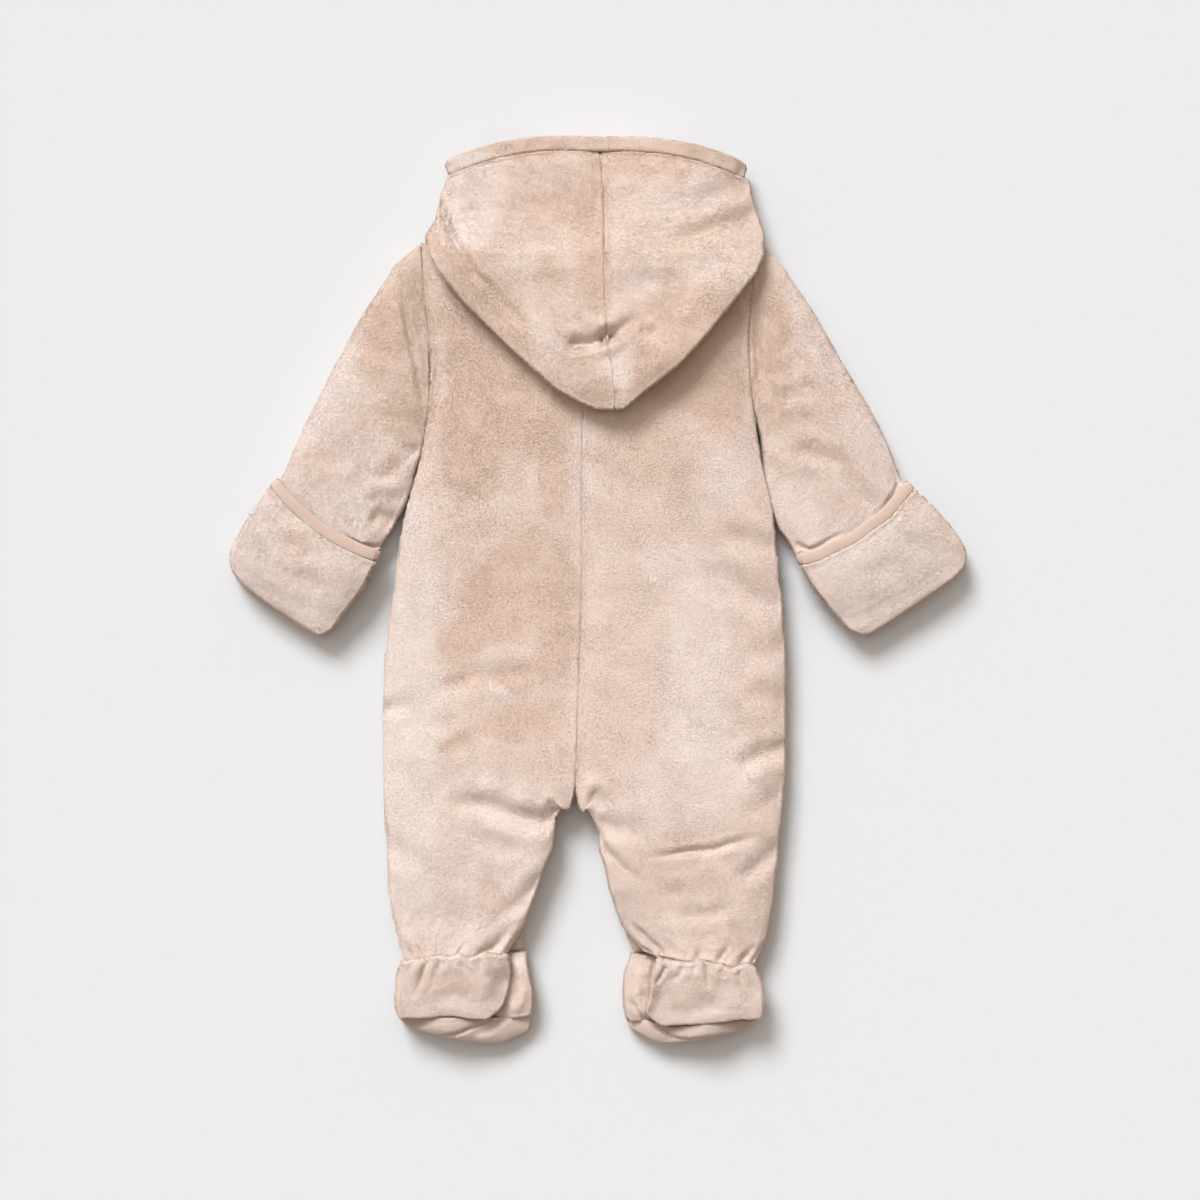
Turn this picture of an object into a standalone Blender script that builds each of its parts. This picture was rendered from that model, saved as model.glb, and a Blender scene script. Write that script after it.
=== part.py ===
"""Footed baby pramsuit in padded plush, laid out flat on its front, with its hood turned back over its back.

Millimetres throughout; +X is the wearer's right, +Y runs from the feet to the hood and +Z points up from the surface.
Every piece of cloth is a wall lofted through sections, and a section is a pair of paths, one for each of its faces.
"""

import math
from collections import namedtuple

import bmesh
import bpy
from mathutils import Matrix, Vector

MM = 0.001

# Driving sizes, mm.
SEAM_GAP = 0.5  # between two pieces sewn edge to edge
LAYER_GAP = 0.5  # between two layers that lie on each other
FRONT_WALL = 11.5  # plush, wadding and lining of the front, which lies on the surface
BACK_FLOOR = FRONT_WALL + LAYER_GAP
SLEEVE_WALL = 10.6
SLEEVE_GAP = 0.9
HOOD_GAP = 0.8
BRIM_WIDTH = 11.4
BRIM_HEIGHT = 12.6
BINDING_WIDTH = 8.0
BINDING_HEIGHT = 5.6
ZIP_WIDTH = 7.6
ZIP_FLOOR, ZIP_CEILING = 3.6, 7.4
ZIP_HEAD, ZIP_FOOT, ZIP_STOP = 226, -118, -137  # the chain's ends, and the end of its tape
ZIP_STOP_ROW = 11  # the body's first row below the zip
ZIP_TIP = 1.4
SLIDER_LENGTH, SLIDER_WIDTH, SLIDER_FLOOR, SLIDER_CEILING = 15, 6.4, 0.8, 3.3
ARMHOLE_ROWS = 6  # the first rows of the body's tables have the armhole at their side

PLUSH = ("plush", (0.80, 0.66, 0.57), 0.95, 0.0)
SOLE_PLUSH = ("sole_plush", (0.74, 0.60, 0.50), 0.9, 0.0)
JERSEY = ("jersey", (0.80, 0.62, 0.52), 0.85, 0.0)
TAPE = ("zip_tape", (0.76, 0.62, 0.54), 0.8, 0.0)
NICKEL = ("nickel", (0.72, 0.70, 0.66), 0.35, 1.0)

# A row for each section of half of the body, from the shoulder to the ankle. The seam is the centre seam and then the
# inseam; the side is the armhole and then the side seam. crown is the height of the cloth, seam and side are its
# heights at the two edges, round is how far in from the side the cloth turns down, pleat is the depth of the gathers.
Body = namedtuple("Body", "x_seam y_seam x_side y_side crown seam side round pleat")
LEFT_BODY = [
    Body(-12.0, 249, -131.0, 252, 15.0, 14.4, 14.2, 9, 0),
    Body(-12.0, 244, -131.5, 244, 20.0, 18.6, 18.0, 9, 0),
    Body(-12.0, 232, -131.0, 228, 24.3, 23.0, 21.0, 9, 0),
    Body(-11.6, 194, -127.5, 200, 25.4, 24.0, 21.0, 9, 0),
    Body(-11.6, 158, -125.0, 170, 25.5, 24.0, 21.0, 9, 0),
    Body(-11.6, 130, -127.0, 134, 26.0, 24.5, 18.0, 14, 0),
    Body(-13.0, 84, -134.5, 97, 26.5, 25.0, 14.6, 19, 0),
    Body(-12.6, 34, -147.0, 52, 27.0, 25.5, 14.2, 21, 0),
    Body(-13.0, -8, -154.5, -2, 27.0, 25.5, 14.2, 21, 0),
    Body(-14.5, -60, -161.3, -58, 27.8, 26.0, 14.2, 21, 0),
    Body(-16.5, -118, -162.4, -116, 29.2, 27.0, 14.2, 23, 0),
    Body(-17.6, -144, -161.6, -150, 30.0, 26.0, 14.2, 24, 0),
    Body(-24.0, -161, -160.0, -178, 30.5, 17.0, 14.2, 24, 0),
    Body(-32.0, -180, -158.8, -208, 31.0, 14.6, 14.2, 24, 0),
    Body(-43.0, -218, -156.5, -234, 30.5, 14.4, 14.2, 22, 0.3),
    Body(-56.0, -253, -151.5, -257, 27.0, 14.2, 14.2, 16, 1.6),
    Body(-67.0, -270, -146.0, -273, 20.5, 14.2, 14.2, 9, 1.9),
]
RIGHT_BODY = [
    Body(-12.0, 249, 115.0, 252, 15.0, 14.4, 14.2, 9, 0),
    Body(-12.0, 244, 115.2, 244, 20.0, 18.6, 18.0, 9, 0),
    Body(-12.0, 232, 114.5, 228, 24.3, 23.0, 21.0, 9, 0),
    Body(-11.6, 194, 111.5, 194, 25.4, 24.0, 21.0, 9, 0),
    Body(-11.6, 158, 112.5, 164, 25.5, 24.0, 21.0, 9, 0),
    Body(-11.6, 130, 115.5, 138, 26.0, 24.5, 18.0, 14, 0),
    Body(-13.0, 84, 123.5, 92, 26.5, 25.0, 14.6, 19, 0),
    Body(-12.6, 34, 132.0, 42, 27.0, 25.5, 14.2, 21, 0),
    Body(-13.0, -8, 138.0, -6, 27.0, 25.5, 14.2, 21, 0),
    Body(-14.5, -60, 141.0, -60, 27.8, 26.0, 14.2, 21, 0),
    Body(-16.5, -118, 141.0, -116, 29.2, 27.0, 14.2, 23, 0),
    Body(-16.4, -144, 139.5, -150, 30.0, 26.0, 14.2, 24, 0),
    Body(-9.0, -165, 137.0, -176, 30.5, 17.0, 14.2, 24, 0),
    Body(-0.5, -182, 134.5, -202, 31.0, 14.6, 14.2, 24, 0),
    Body(6.0, -219, 131.5, -234, 30.5, 14.4, 14.2, 22, 0.3),
    Body(18.0, -253, 126.5, -261, 27.0, 14.2, 14.2, 16, 1.6),
    Body(33.5, -270.5, 117.0, -279.5, 20.5, 14.2, 14.2, 9, 1.9),
]
# The front's neckline is lower in the middle, and its ankle is wider on the inside of the leg.
FRONT_NECK_DROPS = (18, 16, 9)
Ankle = namedtuple("Ankle", "x_seam y_seam x_side y_side")
LEFT_FRONT_ANKLE = Ankle(-53.5, -269.4, -146.0, -273.8)
RIGHT_FRONT_ANKLE = Ankle(24.5, -270.2, 117.0, -280.8)

# A row for each section of a sleeve, from the armhole to its end in the mitt: the underarm seam, and the fold along
# the top of the arm.
Sleeve = namedtuple("Sleeve", "x_under y_under x_fold y_fold crown")
LEFT_SLEEVE = [
    Sleeve(-131.6, 117, -154.0, 243.5, 24.0),
    Sleeve(-136.3, 99, -175.5, 211.0, 25.0),
    Sleeve(-141.6, 80, -194.0, 177.0, 25.0),
    Sleeve(-146.4, 62, -212.0, 143.0, 24.6),
    Sleeve(-153.5, 46, -228.0, 110.0, 24.0),
    Sleeve(-165.0, 29, -238.0, 84.0, 22.6),
    Sleeve(-176.5, 12, -250.0, 66.0, 20.0),
    Sleeve(-185.5, -1, -259.0, 47.0, 17.0),
]
RIGHT_SLEEVE = [
    Sleeve(120.2, 121, 139.0, 243.5, 24.0),
    Sleeve(124.2, 104, 161.0, 211.0, 25.0),
    Sleeve(129.0, 86, 181.0, 175.0, 25.0),
    Sleeve(132.6, 66, 201.0, 142.0, 24.6),
    Sleeve(137.0, 46, 217.0, 112.0, 24.0),
    Sleeve(148.0, 26, 227.5, 83.0, 22.6),
    Sleeve(161.5, 10, 242.0, 66.0, 20.0),
    Sleeve(172.0, -3, 253.0, 48.0, 17.0),
]

# A row for each section of a mitt, from its bound edge to the fingertips. edge and floor are the heights of its rim and
# of its inner face, and bow is how far its middle is pushed towards the fingertips.
Mitt = namedtuple("Mitt", "x_under y_under x_fold y_fold crown edge floor bow")
LEFT_MITT = [
    Mitt(-165.5, 21.5, -245.6, 79.0, 31.5, 20.5, 25.0, 8.0),
    Mitt(-172.0, 6.5, -257.0, 64.0, 32.0, 14.5, 23.0, 6.5),
    Mitt(-181.5, -8.0, -268.5, 47.5, 30.5, 12.5, 19.0, 5.0),
    Mitt(-191.5, -20.0, -276.5, 30.0, 27.5, 12.4, 12.6, 4.0),
    Mitt(-198.0, -29.5, -276.0, 16.5, 23.5, 12.3, 11.6, 3.0),
    Mitt(-208.0, -33.8, -267.0, 4.5, 14.5, 12.2, 11.4, 1.0),
]
RIGHT_MITT = [
    Mitt(149.5, 19.5, 236.0, 77.0, 31.5, 20.5, 25.0, 8.0),
    Mitt(158.0, 3.0, 248.5, 66.0, 32.0, 14.5, 23.0, 6.5),
    Mitt(168.5, -10.5, 262.0, 52.5, 30.5, 12.5, 19.0, 5.0),
    Mitt(179.0, -21.5, 275.0, 34.0, 27.5, 12.4, 12.6, 4.0),
    Mitt(187.5, -30.5, 275.5, 20.0, 23.5, 12.3, 11.6, 3.0),
    Mitt(200.0, -33.6, 266.0, 9.5, 14.5, 12.2, 11.4, 1.0),
]

# A row for each section of half of the hood, from the brim to the tip: the centre seam and the folded side. seam and
# crown are the heights there, base is the underside, and reach is the share of the width that the lower layer covers:
# beside the face opening it is a strip, and below the neck it is whole.
Hood = namedtuple("Hood", "x_seam y_seam x_fold y_fold seam crown base reach bow")
LEFT_HOOD = [
    Hood(0.4, 328.0, -114.0, 309.5, 12.5, 20.0, 0.0, 0.20, 7.0),
    Hood(2.3, 311.0, -119.5, 295.0, 14.5, 23.0, 0.0, 0.24, 6.0),
    Hood(3.8, 289.0, -122.5, 279.0, 19.0, 27.0, 0.0, 0.32, 3.0),
    Hood(4.1, 268.0, -130.5, 264.5, 29.0, 34.5, 7.5, 0.45, 1.0),
    Hood(4.0, 250.0, -126.5, 250.0, 43.0, 43.5, 20.5, 0.95, 0.0),
    Hood(4.0, 236.0, -119.0, 236.0, 46.0, 46.0, 25.6, 1.0, 0.0),
    Hood(5.0, 212.0, -99.5, 212.0, 47.0, 47.5, 26.4, 1.0, 0.0),
    Hood(6.6, 188.0, -75.5, 188.0, 47.0, 47.5, 26.4, 1.0, 0.0),
    Hood(9.8, 166.0, -52.5, 166.5, 46.5, 47.0, 26.4, 1.0, 0.0),
    Hood(11.8, 149.0, -31.0, 148.5, 45.0, 45.5, 26.6, 1.0, 0.0),
    Hood(11.8, 140.0, -14.0, 139.0, 42.5, 42.5, 27.0, 1.0, 0.0),
    Hood(11.6, 134.5, -3.0, 134.2, 37.0, 37.0, 28.0, 1.0, 0.0),
]
RIGHT_HOOD = [
    Hood(0.4, 328.0, 111.5, 306.5, 12.5, 20.0, 0.0, 0.20, 7.0),
    Hood(2.3, 311.0, 116.0, 294.0, 14.5, 23.0, 0.0, 0.24, 6.0),
    Hood(3.8, 289.0, 121.0, 280.0, 19.0, 27.0, 0.0, 0.32, 3.0),
    Hood(4.1, 268.0, 125.5, 265.0, 29.0, 34.5, 7.5, 0.45, 1.0),
    Hood(4.0, 250.0, 124.0, 250.0, 43.0, 43.5, 20.5, 0.95, 0.0),
    Hood(4.0, 236.0, 118.5, 236.0, 46.0, 46.0, 25.6, 1.0, 0.0),
    Hood(5.0, 212.0, 99.5, 212.0, 47.0, 47.5, 26.4, 1.0, 0.0),
    Hood(6.6, 188.0, 80.5, 188.0, 47.0, 47.5, 26.4, 1.0, 0.0),
    Hood(9.8, 166.0, 60.5, 166.0, 46.5, 47.0, 26.4, 1.0, 0.0),
    Hood(11.8, 149.0, 38.0, 149.0, 45.0, 45.5, 26.6, 1.0, 0.0),
    Hood(11.8, 140.0, 26.0, 140.0, 42.5, 42.5, 27.0, 1.0, 0.0),
    Hood(11.6, 134.5, 20.5, 134.6, 37.0, 37.0, 28.0, 1.0, 0.0),
]

# A row for each section of a heel, from the ankle to the sole: its outer and inner edges.
Heel = namedtuple("Heel", "x_out y_out x_in y_in crown round pleat")
HEEL_FLOOR, HEEL_EDGE = 16.6, 18.6
LEFT_HEEL = [
    Heel(-147.0, -273.8, -67.2, -270.8, 20.8, 9, 1.8),
    Heel(-151.5, -284.0, -64.6, -280.5, 30.5, 13, 1.2),
    Heel(-152.8, -297.0, -65.2, -294.0, 34.0, 16, 0.3),
    Heel(-152.6, -310.0, -70.5, -307.5, 32.5, 15, 0),
    Heel(-149.5, -318.2, -82.0, -318.6, 23.0, 10, 0),
]
RIGHT_HEEL = [
    Heel(117.0, -280.4, 43.5, -272.8, 20.8, 9, 1.8),
    Heel(123.0, -291.0, 39.0, -284.5, 30.5, 13, 1.2),
    Heel(124.6, -303.0, 37.0, -299.0, 34.0, 16, 0.3),
    Heel(124.0, -313.0, 39.5, -313.0, 32.5, 15, 0),
    Heel(120.5, -319.6, 47.5, -324.0, 23.0, 10, 0),
]

# A row for each section of a vamp: the heel covers it as far as x_cover, and past that it bulges up to crown.
Vamp = namedtuple("Vamp", "x_out y_out x_in y_in x_cover wall crown")
VAMP_EDGE = 7.0
LEFT_VAMP = [
    Vamp(-145.0, -275.0, -53.8, -270.8, -65.0, 11.4, 15.0),
    Vamp(-148.5, -287.0, -51.5, -284.0, -62.6, 16.0, 23.0),
    Vamp(-149.5, -301.0, -47.6, -300.0, -63.4, 16.0, 24.5),
    Vamp(-148.0, -310.0, -48.0, -311.0, -70.5, 16.0, 22.5),
    Vamp(-146.5, -316.6, -50.0, -316.8, -80.0, 15.6, 18.0),
]
RIGHT_VAMP = [
    Vamp(115.5, -282.4, 24.0, -271.6, 41.0, 11.4, 15.0),
    Vamp(120.5, -293.0, 18.6, -285.0, 37.0, 16.0, 23.0),
    Vamp(121.5, -305.0, 17.4, -300.5, 35.0, 16.0, 24.5),
    Vamp(120.5, -313.0, 17.6, -311.5, 37.6, 16.0, 22.5),
    Vamp(118.5, -317.6, 20.0, -319.0, 44.0, 15.6, 18.0),
]

# A row for each section of a sole, across the foot from its outer end to its inner end: the edge that is sewn to the
# heel and the edge that ends the garment.
Sole = namedtuple("Sole", "x_near y_near x_far y_far crown")
LEFT_SOLE = [
    Sole(-150.5, -319.0, -148.5, -323.0, 13.0),
    Sole(-137.0, -319.6, -135.0, -330.6, 21.0),
    Sole(-114.0, -320.0, -112.5, -336.3, 23.5),
    Sole(-90.0, -320.2, -91.0, -339.6, 22.5),
    Sole(-70.0, -319.4, -69.5, -338.8, 20.0),
    Sole(-50.0, -318.0, -51.5, -331.0, 13.0),
]
RIGHT_SOLE = [
    Sole(121.5, -320.6, 120.0, -322.6, 13.0),
    Sole(105.0, -322.0, 106.0, -330.0, 21.0),
    Sole(84.0, -323.6, 84.0, -335.4, 23.5),
    Sole(60.0, -325.8, 60.0, -339.4, 22.5),
    Sole(40.0, -324.8, 40.5, -339.0, 20.0),
    Sole(20.0, -320.0, 23.0, -330.0, 13.0),
]

# The largest folds, each a soft trough along a line: its half-width and depth.
Fold = namedtuple("Fold", "x_start y_start x_end y_end width depth")
FOLDS = [
    Fold(-17, 190, -3, 186, 7, 3.0),  # pucker of the hood, either side of its seam
    Fold(6, 193, 29, 200, 7, 2.6),
    Fold(-118, 276, -91, 236, 6, 2.6),  # roll along the hood's left side
    Fold(-91, 236, -53, 192, 6, 2.4),
    Fold(-53, 192, -15, 146, 6, 2.2),
    Fold(-145, 229, -130, 145, 5, 2.2),  # sleeve head
    Fold(-162, -86, -128, -84, 8, 2.2),  # hips
    Fold(95, -126, 139, -119, 8, 2.6),
    Fold(-25, -168, -60, -176, 8, 2.4),  # crotch
    Fold(-6, -170, 24, -176, 8, 2.4),
    Fold(2, -183, 11, -199, 8, 2.6),  # diagonal of the right leg
    Fold(11, -199, 45, -223, 8, 3.0),
    Fold(39, -196, 86, -193, 8, 3.2),  # across the right leg
    Fold(86, -193, 122, -184, 8, 3.0),
    Fold(40, -234, 101, -234, 8, 3.4),
    Fold(19, -243, 47, -272, 8, 3.0),
    Fold(109, -213, 130, -201, 7, 2.2),
    Fold(-79, -160, -33, -174, 7, 1.8),  # across the left leg
    Fold(-120, -212, -66, -222, 8, 2.0),
    Fold(-140, -244, -84, -247, 7, 2.2),
]


def clear_scene():
    for obj in list(bpy.data.objects):
        bpy.data.objects.remove(obj)


def material(look):
    name, colour, roughness, metallic = look
    found = bpy.data.materials.get(name)
    if found:
        return found
    made = bpy.data.materials.new(name)
    made.use_nodes = True
    shader = made.node_tree.nodes["Principled BSDF"]
    shader.inputs["Base Color"].default_value = (*colour, 1)
    shader.inputs["Roughness"].default_value = roughness
    shader.inputs["Metallic"].default_value = metallic
    made.diffuse_color = (*colour, 1)
    return made


def smooth(rows, steps=2):
    """The rows with steps intervals for each of theirs, on a Catmull-Rom curve through every column."""
    kind = type(rows[0])
    found = []
    for i in range(len(rows) - 1):
        before, start, end, after = rows[max(i - 1, 0)], rows[i], rows[i + 1], rows[min(i + 2, len(rows) - 1)]
        for k in range(steps):
            t = k / steps
            values = [
                0.5 * (2 * b + (c - a) * t + (2 * a - 5 * b + 4 * c - d) * t**2 + (3 * b - a - 3 * c + d) * t**3)
                for a, b, c, d in zip(before, start, end, after)
            ]
            found.append(kind(*values))
    return found + [rows[-1]]


def turned(distance, radius):
    """How far up a rounded edge is at this distance in from it: 0 at the edge and 1 past the radius."""
    share = min(max(distance / radius, 0), 1)
    return math.sqrt(1 - (1 - share) ** 2)


def spread(width, near, far, middle):
    """Distances across a section, closer together over its rounded edges."""
    start = [near * share for share in (0, 0.2, 1)]
    finish = [width - far * share for share in (1, 0.45, 0.12, 0)]
    step = (finish[0] - start[-1]) / (middle + 1)
    return start + [start[-1] + step * (k + 1) for k in range(middle)] + finish


def between(start, end, share, bow=0.0):
    """A point of the line between two points, pushed aside by bow at its middle, to the right of the way along."""
    along = Vector(end) - Vector(start)
    aside = Vector((along.y, -along.x)).normalized() * bow * 4 * share * (1 - share)
    return Vector(start) + along * share + aside


def folded(x, y, fade=1.0):
    """How deep the folds are at a point."""
    depth = 0.0
    for fold in FOLDS:
        start, end = Vector((fold.x_start, fold.y_start)), Vector((fold.x_end, fold.y_end))
        along = end - start
        share = min(max((Vector((x, y)) - start).dot(along) / along.length_squared, 0), 1)
        distance = (Vector((x, y)) - start - along * share).length
        depth = max(depth, fold.depth * math.exp(-((distance / fold.width) ** 2)))
    return depth * fade


def pleated(k, count, depth):
    """Up and down by turns across the gathers, and level at the two edges."""
    return 0.0 if k < 2 or k > count - 3 else depth * (-1) ** k


def finish(name, mesh, look):
    bmesh.ops.recalc_face_normals(mesh, faces=mesh.faces)
    data = bpy.data.meshes.new(name)
    mesh.to_mesh(data)
    mesh.free()
    data.shade_smooth()
    data.set_sharp_from_angle(angle=math.radians(50))
    data.materials.append(material(look))
    obj = bpy.data.objects.new(name, data)
    bpy.context.scene.collection.objects.link(obj)
    return obj


def wall(name, sections, look):
    """A closed wall through sections, each a pair of paths with as many points, one for each face of the cloth."""
    mesh = bmesh.new()
    grid = [[[mesh.verts.new(Vector(point) * MM) for point in path] for path in section] for section in sections]
    last = len(grid[0][0]) - 1
    for one, two in zip(grid, grid[1:]):
        for side in (0, 1):
            for k in range(last):
                mesh.faces.new((one[side][k], one[side][k + 1], two[side][k + 1], two[side][k]))
        for k in (0, last):
            mesh.faces.new((one[0][k], two[0][k], two[1][k], one[1][k]))
    for end in (grid[0], grid[-1]):
        for k in range(last):
            mesh.faces.new((end[0][k], end[0][k + 1], end[1][k + 1], end[1][k]))
    return finish(name, mesh, look)


def band(name, rings, look):
    """A closed band through rings of as many points."""
    mesh = bmesh.new()
    grid = [[mesh.verts.new(Vector(point) * MM) for point in ring] for ring in rings]
    count = len(grid[0])
    for one, two in zip(grid, grid[1:]):
        for k in range(count):
            mesh.faces.new((one[k], one[(k + 1) % count], two[(k + 1) % count], two[k]))
    mesh.faces.new(grid[0])
    mesh.faces.new(grid[-1])
    return finish(name, mesh, look)


def oval(centre, aside, width, height, sides=8):
    """An upright oval ring around a point of a route, squared off a little."""
    ring = []
    for k in range(sides):
        angle = 2 * math.pi * (k + 0.5) / sides
        out = aside * width / 2 * math.cos(angle) * 1.06
        ring.append((centre[0] + out.x, centre[1] + out.y, centre[2] + height / 2 * math.sin(angle) * 1.06))
    return ring


def back_half(name, rows, side_way):
    """Half of the back, from the centre seam to the side, lying on the front."""
    near = 7.0
    sections = []
    for row in smooth(rows):
        seam = (row.x_seam + side_way * SEAM_GAP / 2, row.y_seam)
        side = (row.x_side, row.y_side)
        width = (Vector(side) - Vector(seam)).length
        places = spread(width, near, row.round, 4)
        top, under = [], []
        for k, place in enumerate(places):
            x, y = between(seam, side, place / width)
            drop = (row.crown - row.seam) * (1 - turned(place, near))
            fall = (row.crown - row.side) * (1 - turned(width - place, row.round))
            z = max(row.crown - drop - fall, min(row.seam, row.side))
            cloth = min((z - BACK_FLOOR - 2) / 8, 1)
            top.append((x, y, z + pleated(k, len(places), row.pleat) - folded(x, y, max(cloth, 0))))
            under.append((x, y, BACK_FLOOR))
        sections.append((top, under))
    return wall(name, sections, PLUSH)


def front_half(name, rows, ankle, side_way):
    """Half of the front, flat on the surface, from the zip to the side."""
    near, far, rise = 4.0, 12.0, 8.6
    sections = []
    for k, row in enumerate(rows[:-1] + [ankle]):
        on_armhole = 0 < k < ARMHOLE_ROWS
        drop = FRONT_NECK_DROPS[k] if k < len(FRONT_NECK_DROPS) else 0
        offset = ZIP_WIDTH / 2 + SEAM_GAP if row.y_seam >= ZIP_FOOT else SEAM_GAP / 2
        seam = (row.x_seam + side_way * offset, row.y_seam - drop)
        side = (row.x_side - side_way * 0.2, row.y_side)
        width = (Vector(side) - Vector(seam)).length
        top, under = [], []
        for place in spread(width, near, 4.0 if on_armhole else far, 1):
            x, y = between(seam, side, place / width)
            edge = (3.0 if on_armhole else rise) * (1 - turned(width - place, 4.0 if on_armhole else far))
            z = 2.0 * (1 - turned(place, near)) + edge
            top.append((x, y, FRONT_WALL))
            under.append((x, y, max(z, 5.0) if k == 0 else z))
        sections.append((top, under))
    return wall(name, sections, PLUSH)


def armhole(rows, share):
    """A point of the armhole, at a share of the way down it."""
    edge = smooth(rows[:ARMHOLE_ROWS], 4)
    place = share * (len(edge) - 1)
    k = min(int(place), len(edge) - 2)
    start, end = edge[k], edge[k + 1]
    return Vector((start.x_side, start.y_side)).lerp(Vector((end.x_side, end.y_side)), place - k)


def sleeve_section(across, crown, under_round, fold_round):
    """The outer and inner paths of a flattened sleeve: over the top from its seam, round its fold, and back below."""
    width = (across(1.0) - across(0.0)).length
    middle = SLEEVE_WALL + SLEEVE_GAP / 2
    low_round, inset = 9.0, 9.5
    body = width - under_round - fold_round
    top = [0, 0.12 * under_round, 0.45 * under_round] + [under_round + body * share for share in (0, 0.33, 0.67, 1)]
    top += [width - fold_round * share for share in (0.45, 0.12)]
    low = [width - low_round * share for share in (0.12, 0.45, 1)]
    low += [low_round + (width - 2 * low_round) * share for share in (0.67, 0.33, 0)] + [0.45 * low_round, 1, 0]

    def inside(place):
        return across(min(max(place, 4.0), width - inset) / width)

    outer, inner = [], []
    for place in top:
        rise = min(turned(place, under_round), turned(width - place, fold_round))
        x, y = across(place / width)
        z = middle + 0.3 + (crown - middle - 0.3) * rise
        cloth = min(max((z - middle - 2) / 8, 0), 1)
        outer.append((x, y, z - folded(x, y, cloth)))
        inner.append((*inside(place), middle + SLEEVE_GAP / 2))
    outer.append((*across(1.0), middle))
    inner.append((*inside(width), middle))
    for place in low:
        rise = min(turned(place, low_round), turned(width - place, low_round))
        outer.append((*across(place / width), (middle - 0.3) * (1 - rise)))
        inner.append((*inside(place), middle - SLEEVE_GAP / 2))
    return outer, inner


def sleeve(name, rows, body, side_way):
    """A one-piece sleeve, pressed flat: its fold is its outer edge, and its one seam runs under the arm."""
    head = rows[0]
    sections = []
    for share, crown in ((0.0, 21.0), (0.35, 23.4)):

        def from_armhole(place, share=share):
            seam = armhole(body, 1 - place) + Vector((side_way * 0.5, 0))
            return seam.lerp(between((head.x_under, head.y_under), (head.x_fold, head.y_fold), place), share)

        sections.append(sleeve_section(from_armhole, crown, 8.0, 12.0))
    for row in rows:

        def across(place, row=row):
            return between((row.x_under, row.y_under), (row.x_fold, row.y_fold), place)

        sections.append(sleeve_section(across, row.crown, 12.0, 14.0))
    return wall(name, sections, PLUSH)


def mitt_back(name, rows, bow_way):
    """The upper cloth of a mitt, over the end of the sleeve and down to the fingertips."""
    under_round, fold_round = 11.0, 13.0
    sections = []
    for row in smooth(rows):
        start, end = (row.x_under, row.y_under), (row.x_fold, row.y_fold)
        width = (Vector(end) - Vector(start)).length
        top, under = [], []
        for place in spread(width, under_round, fold_round, 3):
            x, y = between(start, end, place / width, bow_way * row.bow)
            rise = min(turned(place, under_round), turned(width - place, fold_round))
            inner_rise = min(turned(place, under_round - 2), turned(width - place, fold_round - 2))
            rim = max(row.edge - 2.0, 11.2)
            top.append((x, y, row.edge + (row.crown - row.edge) * rise))
            under.append((x, y, rim + max(row.floor - rim, 0) * inner_rise))
        sections.append((top, under))
    return wall(name, sections, PLUSH)


def mitt_palm(name, sleeve_end, rows, side_way):
    """The lower cloth of a mitt, sewn to the end of the sleeve and shown past the tips of the upper cloth."""
    under, fold = Vector((sleeve_end.x_under, sleeve_end.y_under)), Vector((sleeve_end.x_fold, sleeve_end.y_fold))
    along = (fold - under).normalized()
    tipwards = Vector((along.y, -along.x)) * side_way
    lines = [(under + tipwards * 0.6 - along * 2, fold + tipwards * 0.6 + along * 9)]
    for row, out in zip(rows[3:], (0.5, 1.2, 1.8)):
        start, end = Vector((row.x_under, row.y_under)), Vector((row.x_fold, row.y_fold))
        lines.append((start + tipwards * out, end + tipwards * out))
    lines.append((lines[-1][0] + tipwards * 1.6 + along * 12, lines[-1][1] + tipwards * 1.6 - along * 12))
    sections = []
    for k, (start, end) in enumerate(lines):
        width = (end - start).length
        last = k == len(lines) - 1
        top, low = [], []
        for place in spread(width, 9.0, 9.0, 2):
            x, y = between(start, end, place / width, side_way * 1.0)
            edge = 1 - min(turned(place, 9.0), turned(width - place, 9.0))
            top.append((x, y, 9.6 if last else 10.9))
            low.append((x, y, 7.4 if last else 7.4 * edge))
        sections.append((top, low))
    return wall(name, sections, PLUSH)


def mitt_binding(name, mitt, bow_way):
    """The bound edge of a mitt, a folded strip of jersey that stands off the mitt's edge by the seam."""
    start, end = Vector((mitt.x_under, mitt.y_under)), Vector((mitt.x_fold, mitt.y_fold))
    width = (end - start).length
    shares = [0.0, 0.03, 0.09, 0.17, 0.34, 0.5, 0.66, 0.83, 0.91, 0.97, 1.0]
    route = [between(start, end, share, bow_way * mitt.bow) for share in shares]
    rings = []
    for k, (share, point) in enumerate(zip(shares, route)):
        along = (route[min(k + 1, len(route) - 1)] - route[max(k - 1, 0)]).normalized()
        aside = Vector((-along.y, along.x)) * bow_way
        rise = min(turned(share * width, 11.0), turned((1 - share) * width, 13.0))
        upper = mitt.edge + (mitt.crown - mitt.edge) * rise - 0.8
        centre = point + aside * (BINDING_WIDTH / 2 + 0.5)
        rings.append(oval((*centre, upper - BINDING_HEIGHT / 2), aside, BINDING_WIDTH, BINDING_HEIGHT))
    return band(name, rings, JERSEY)


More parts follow.
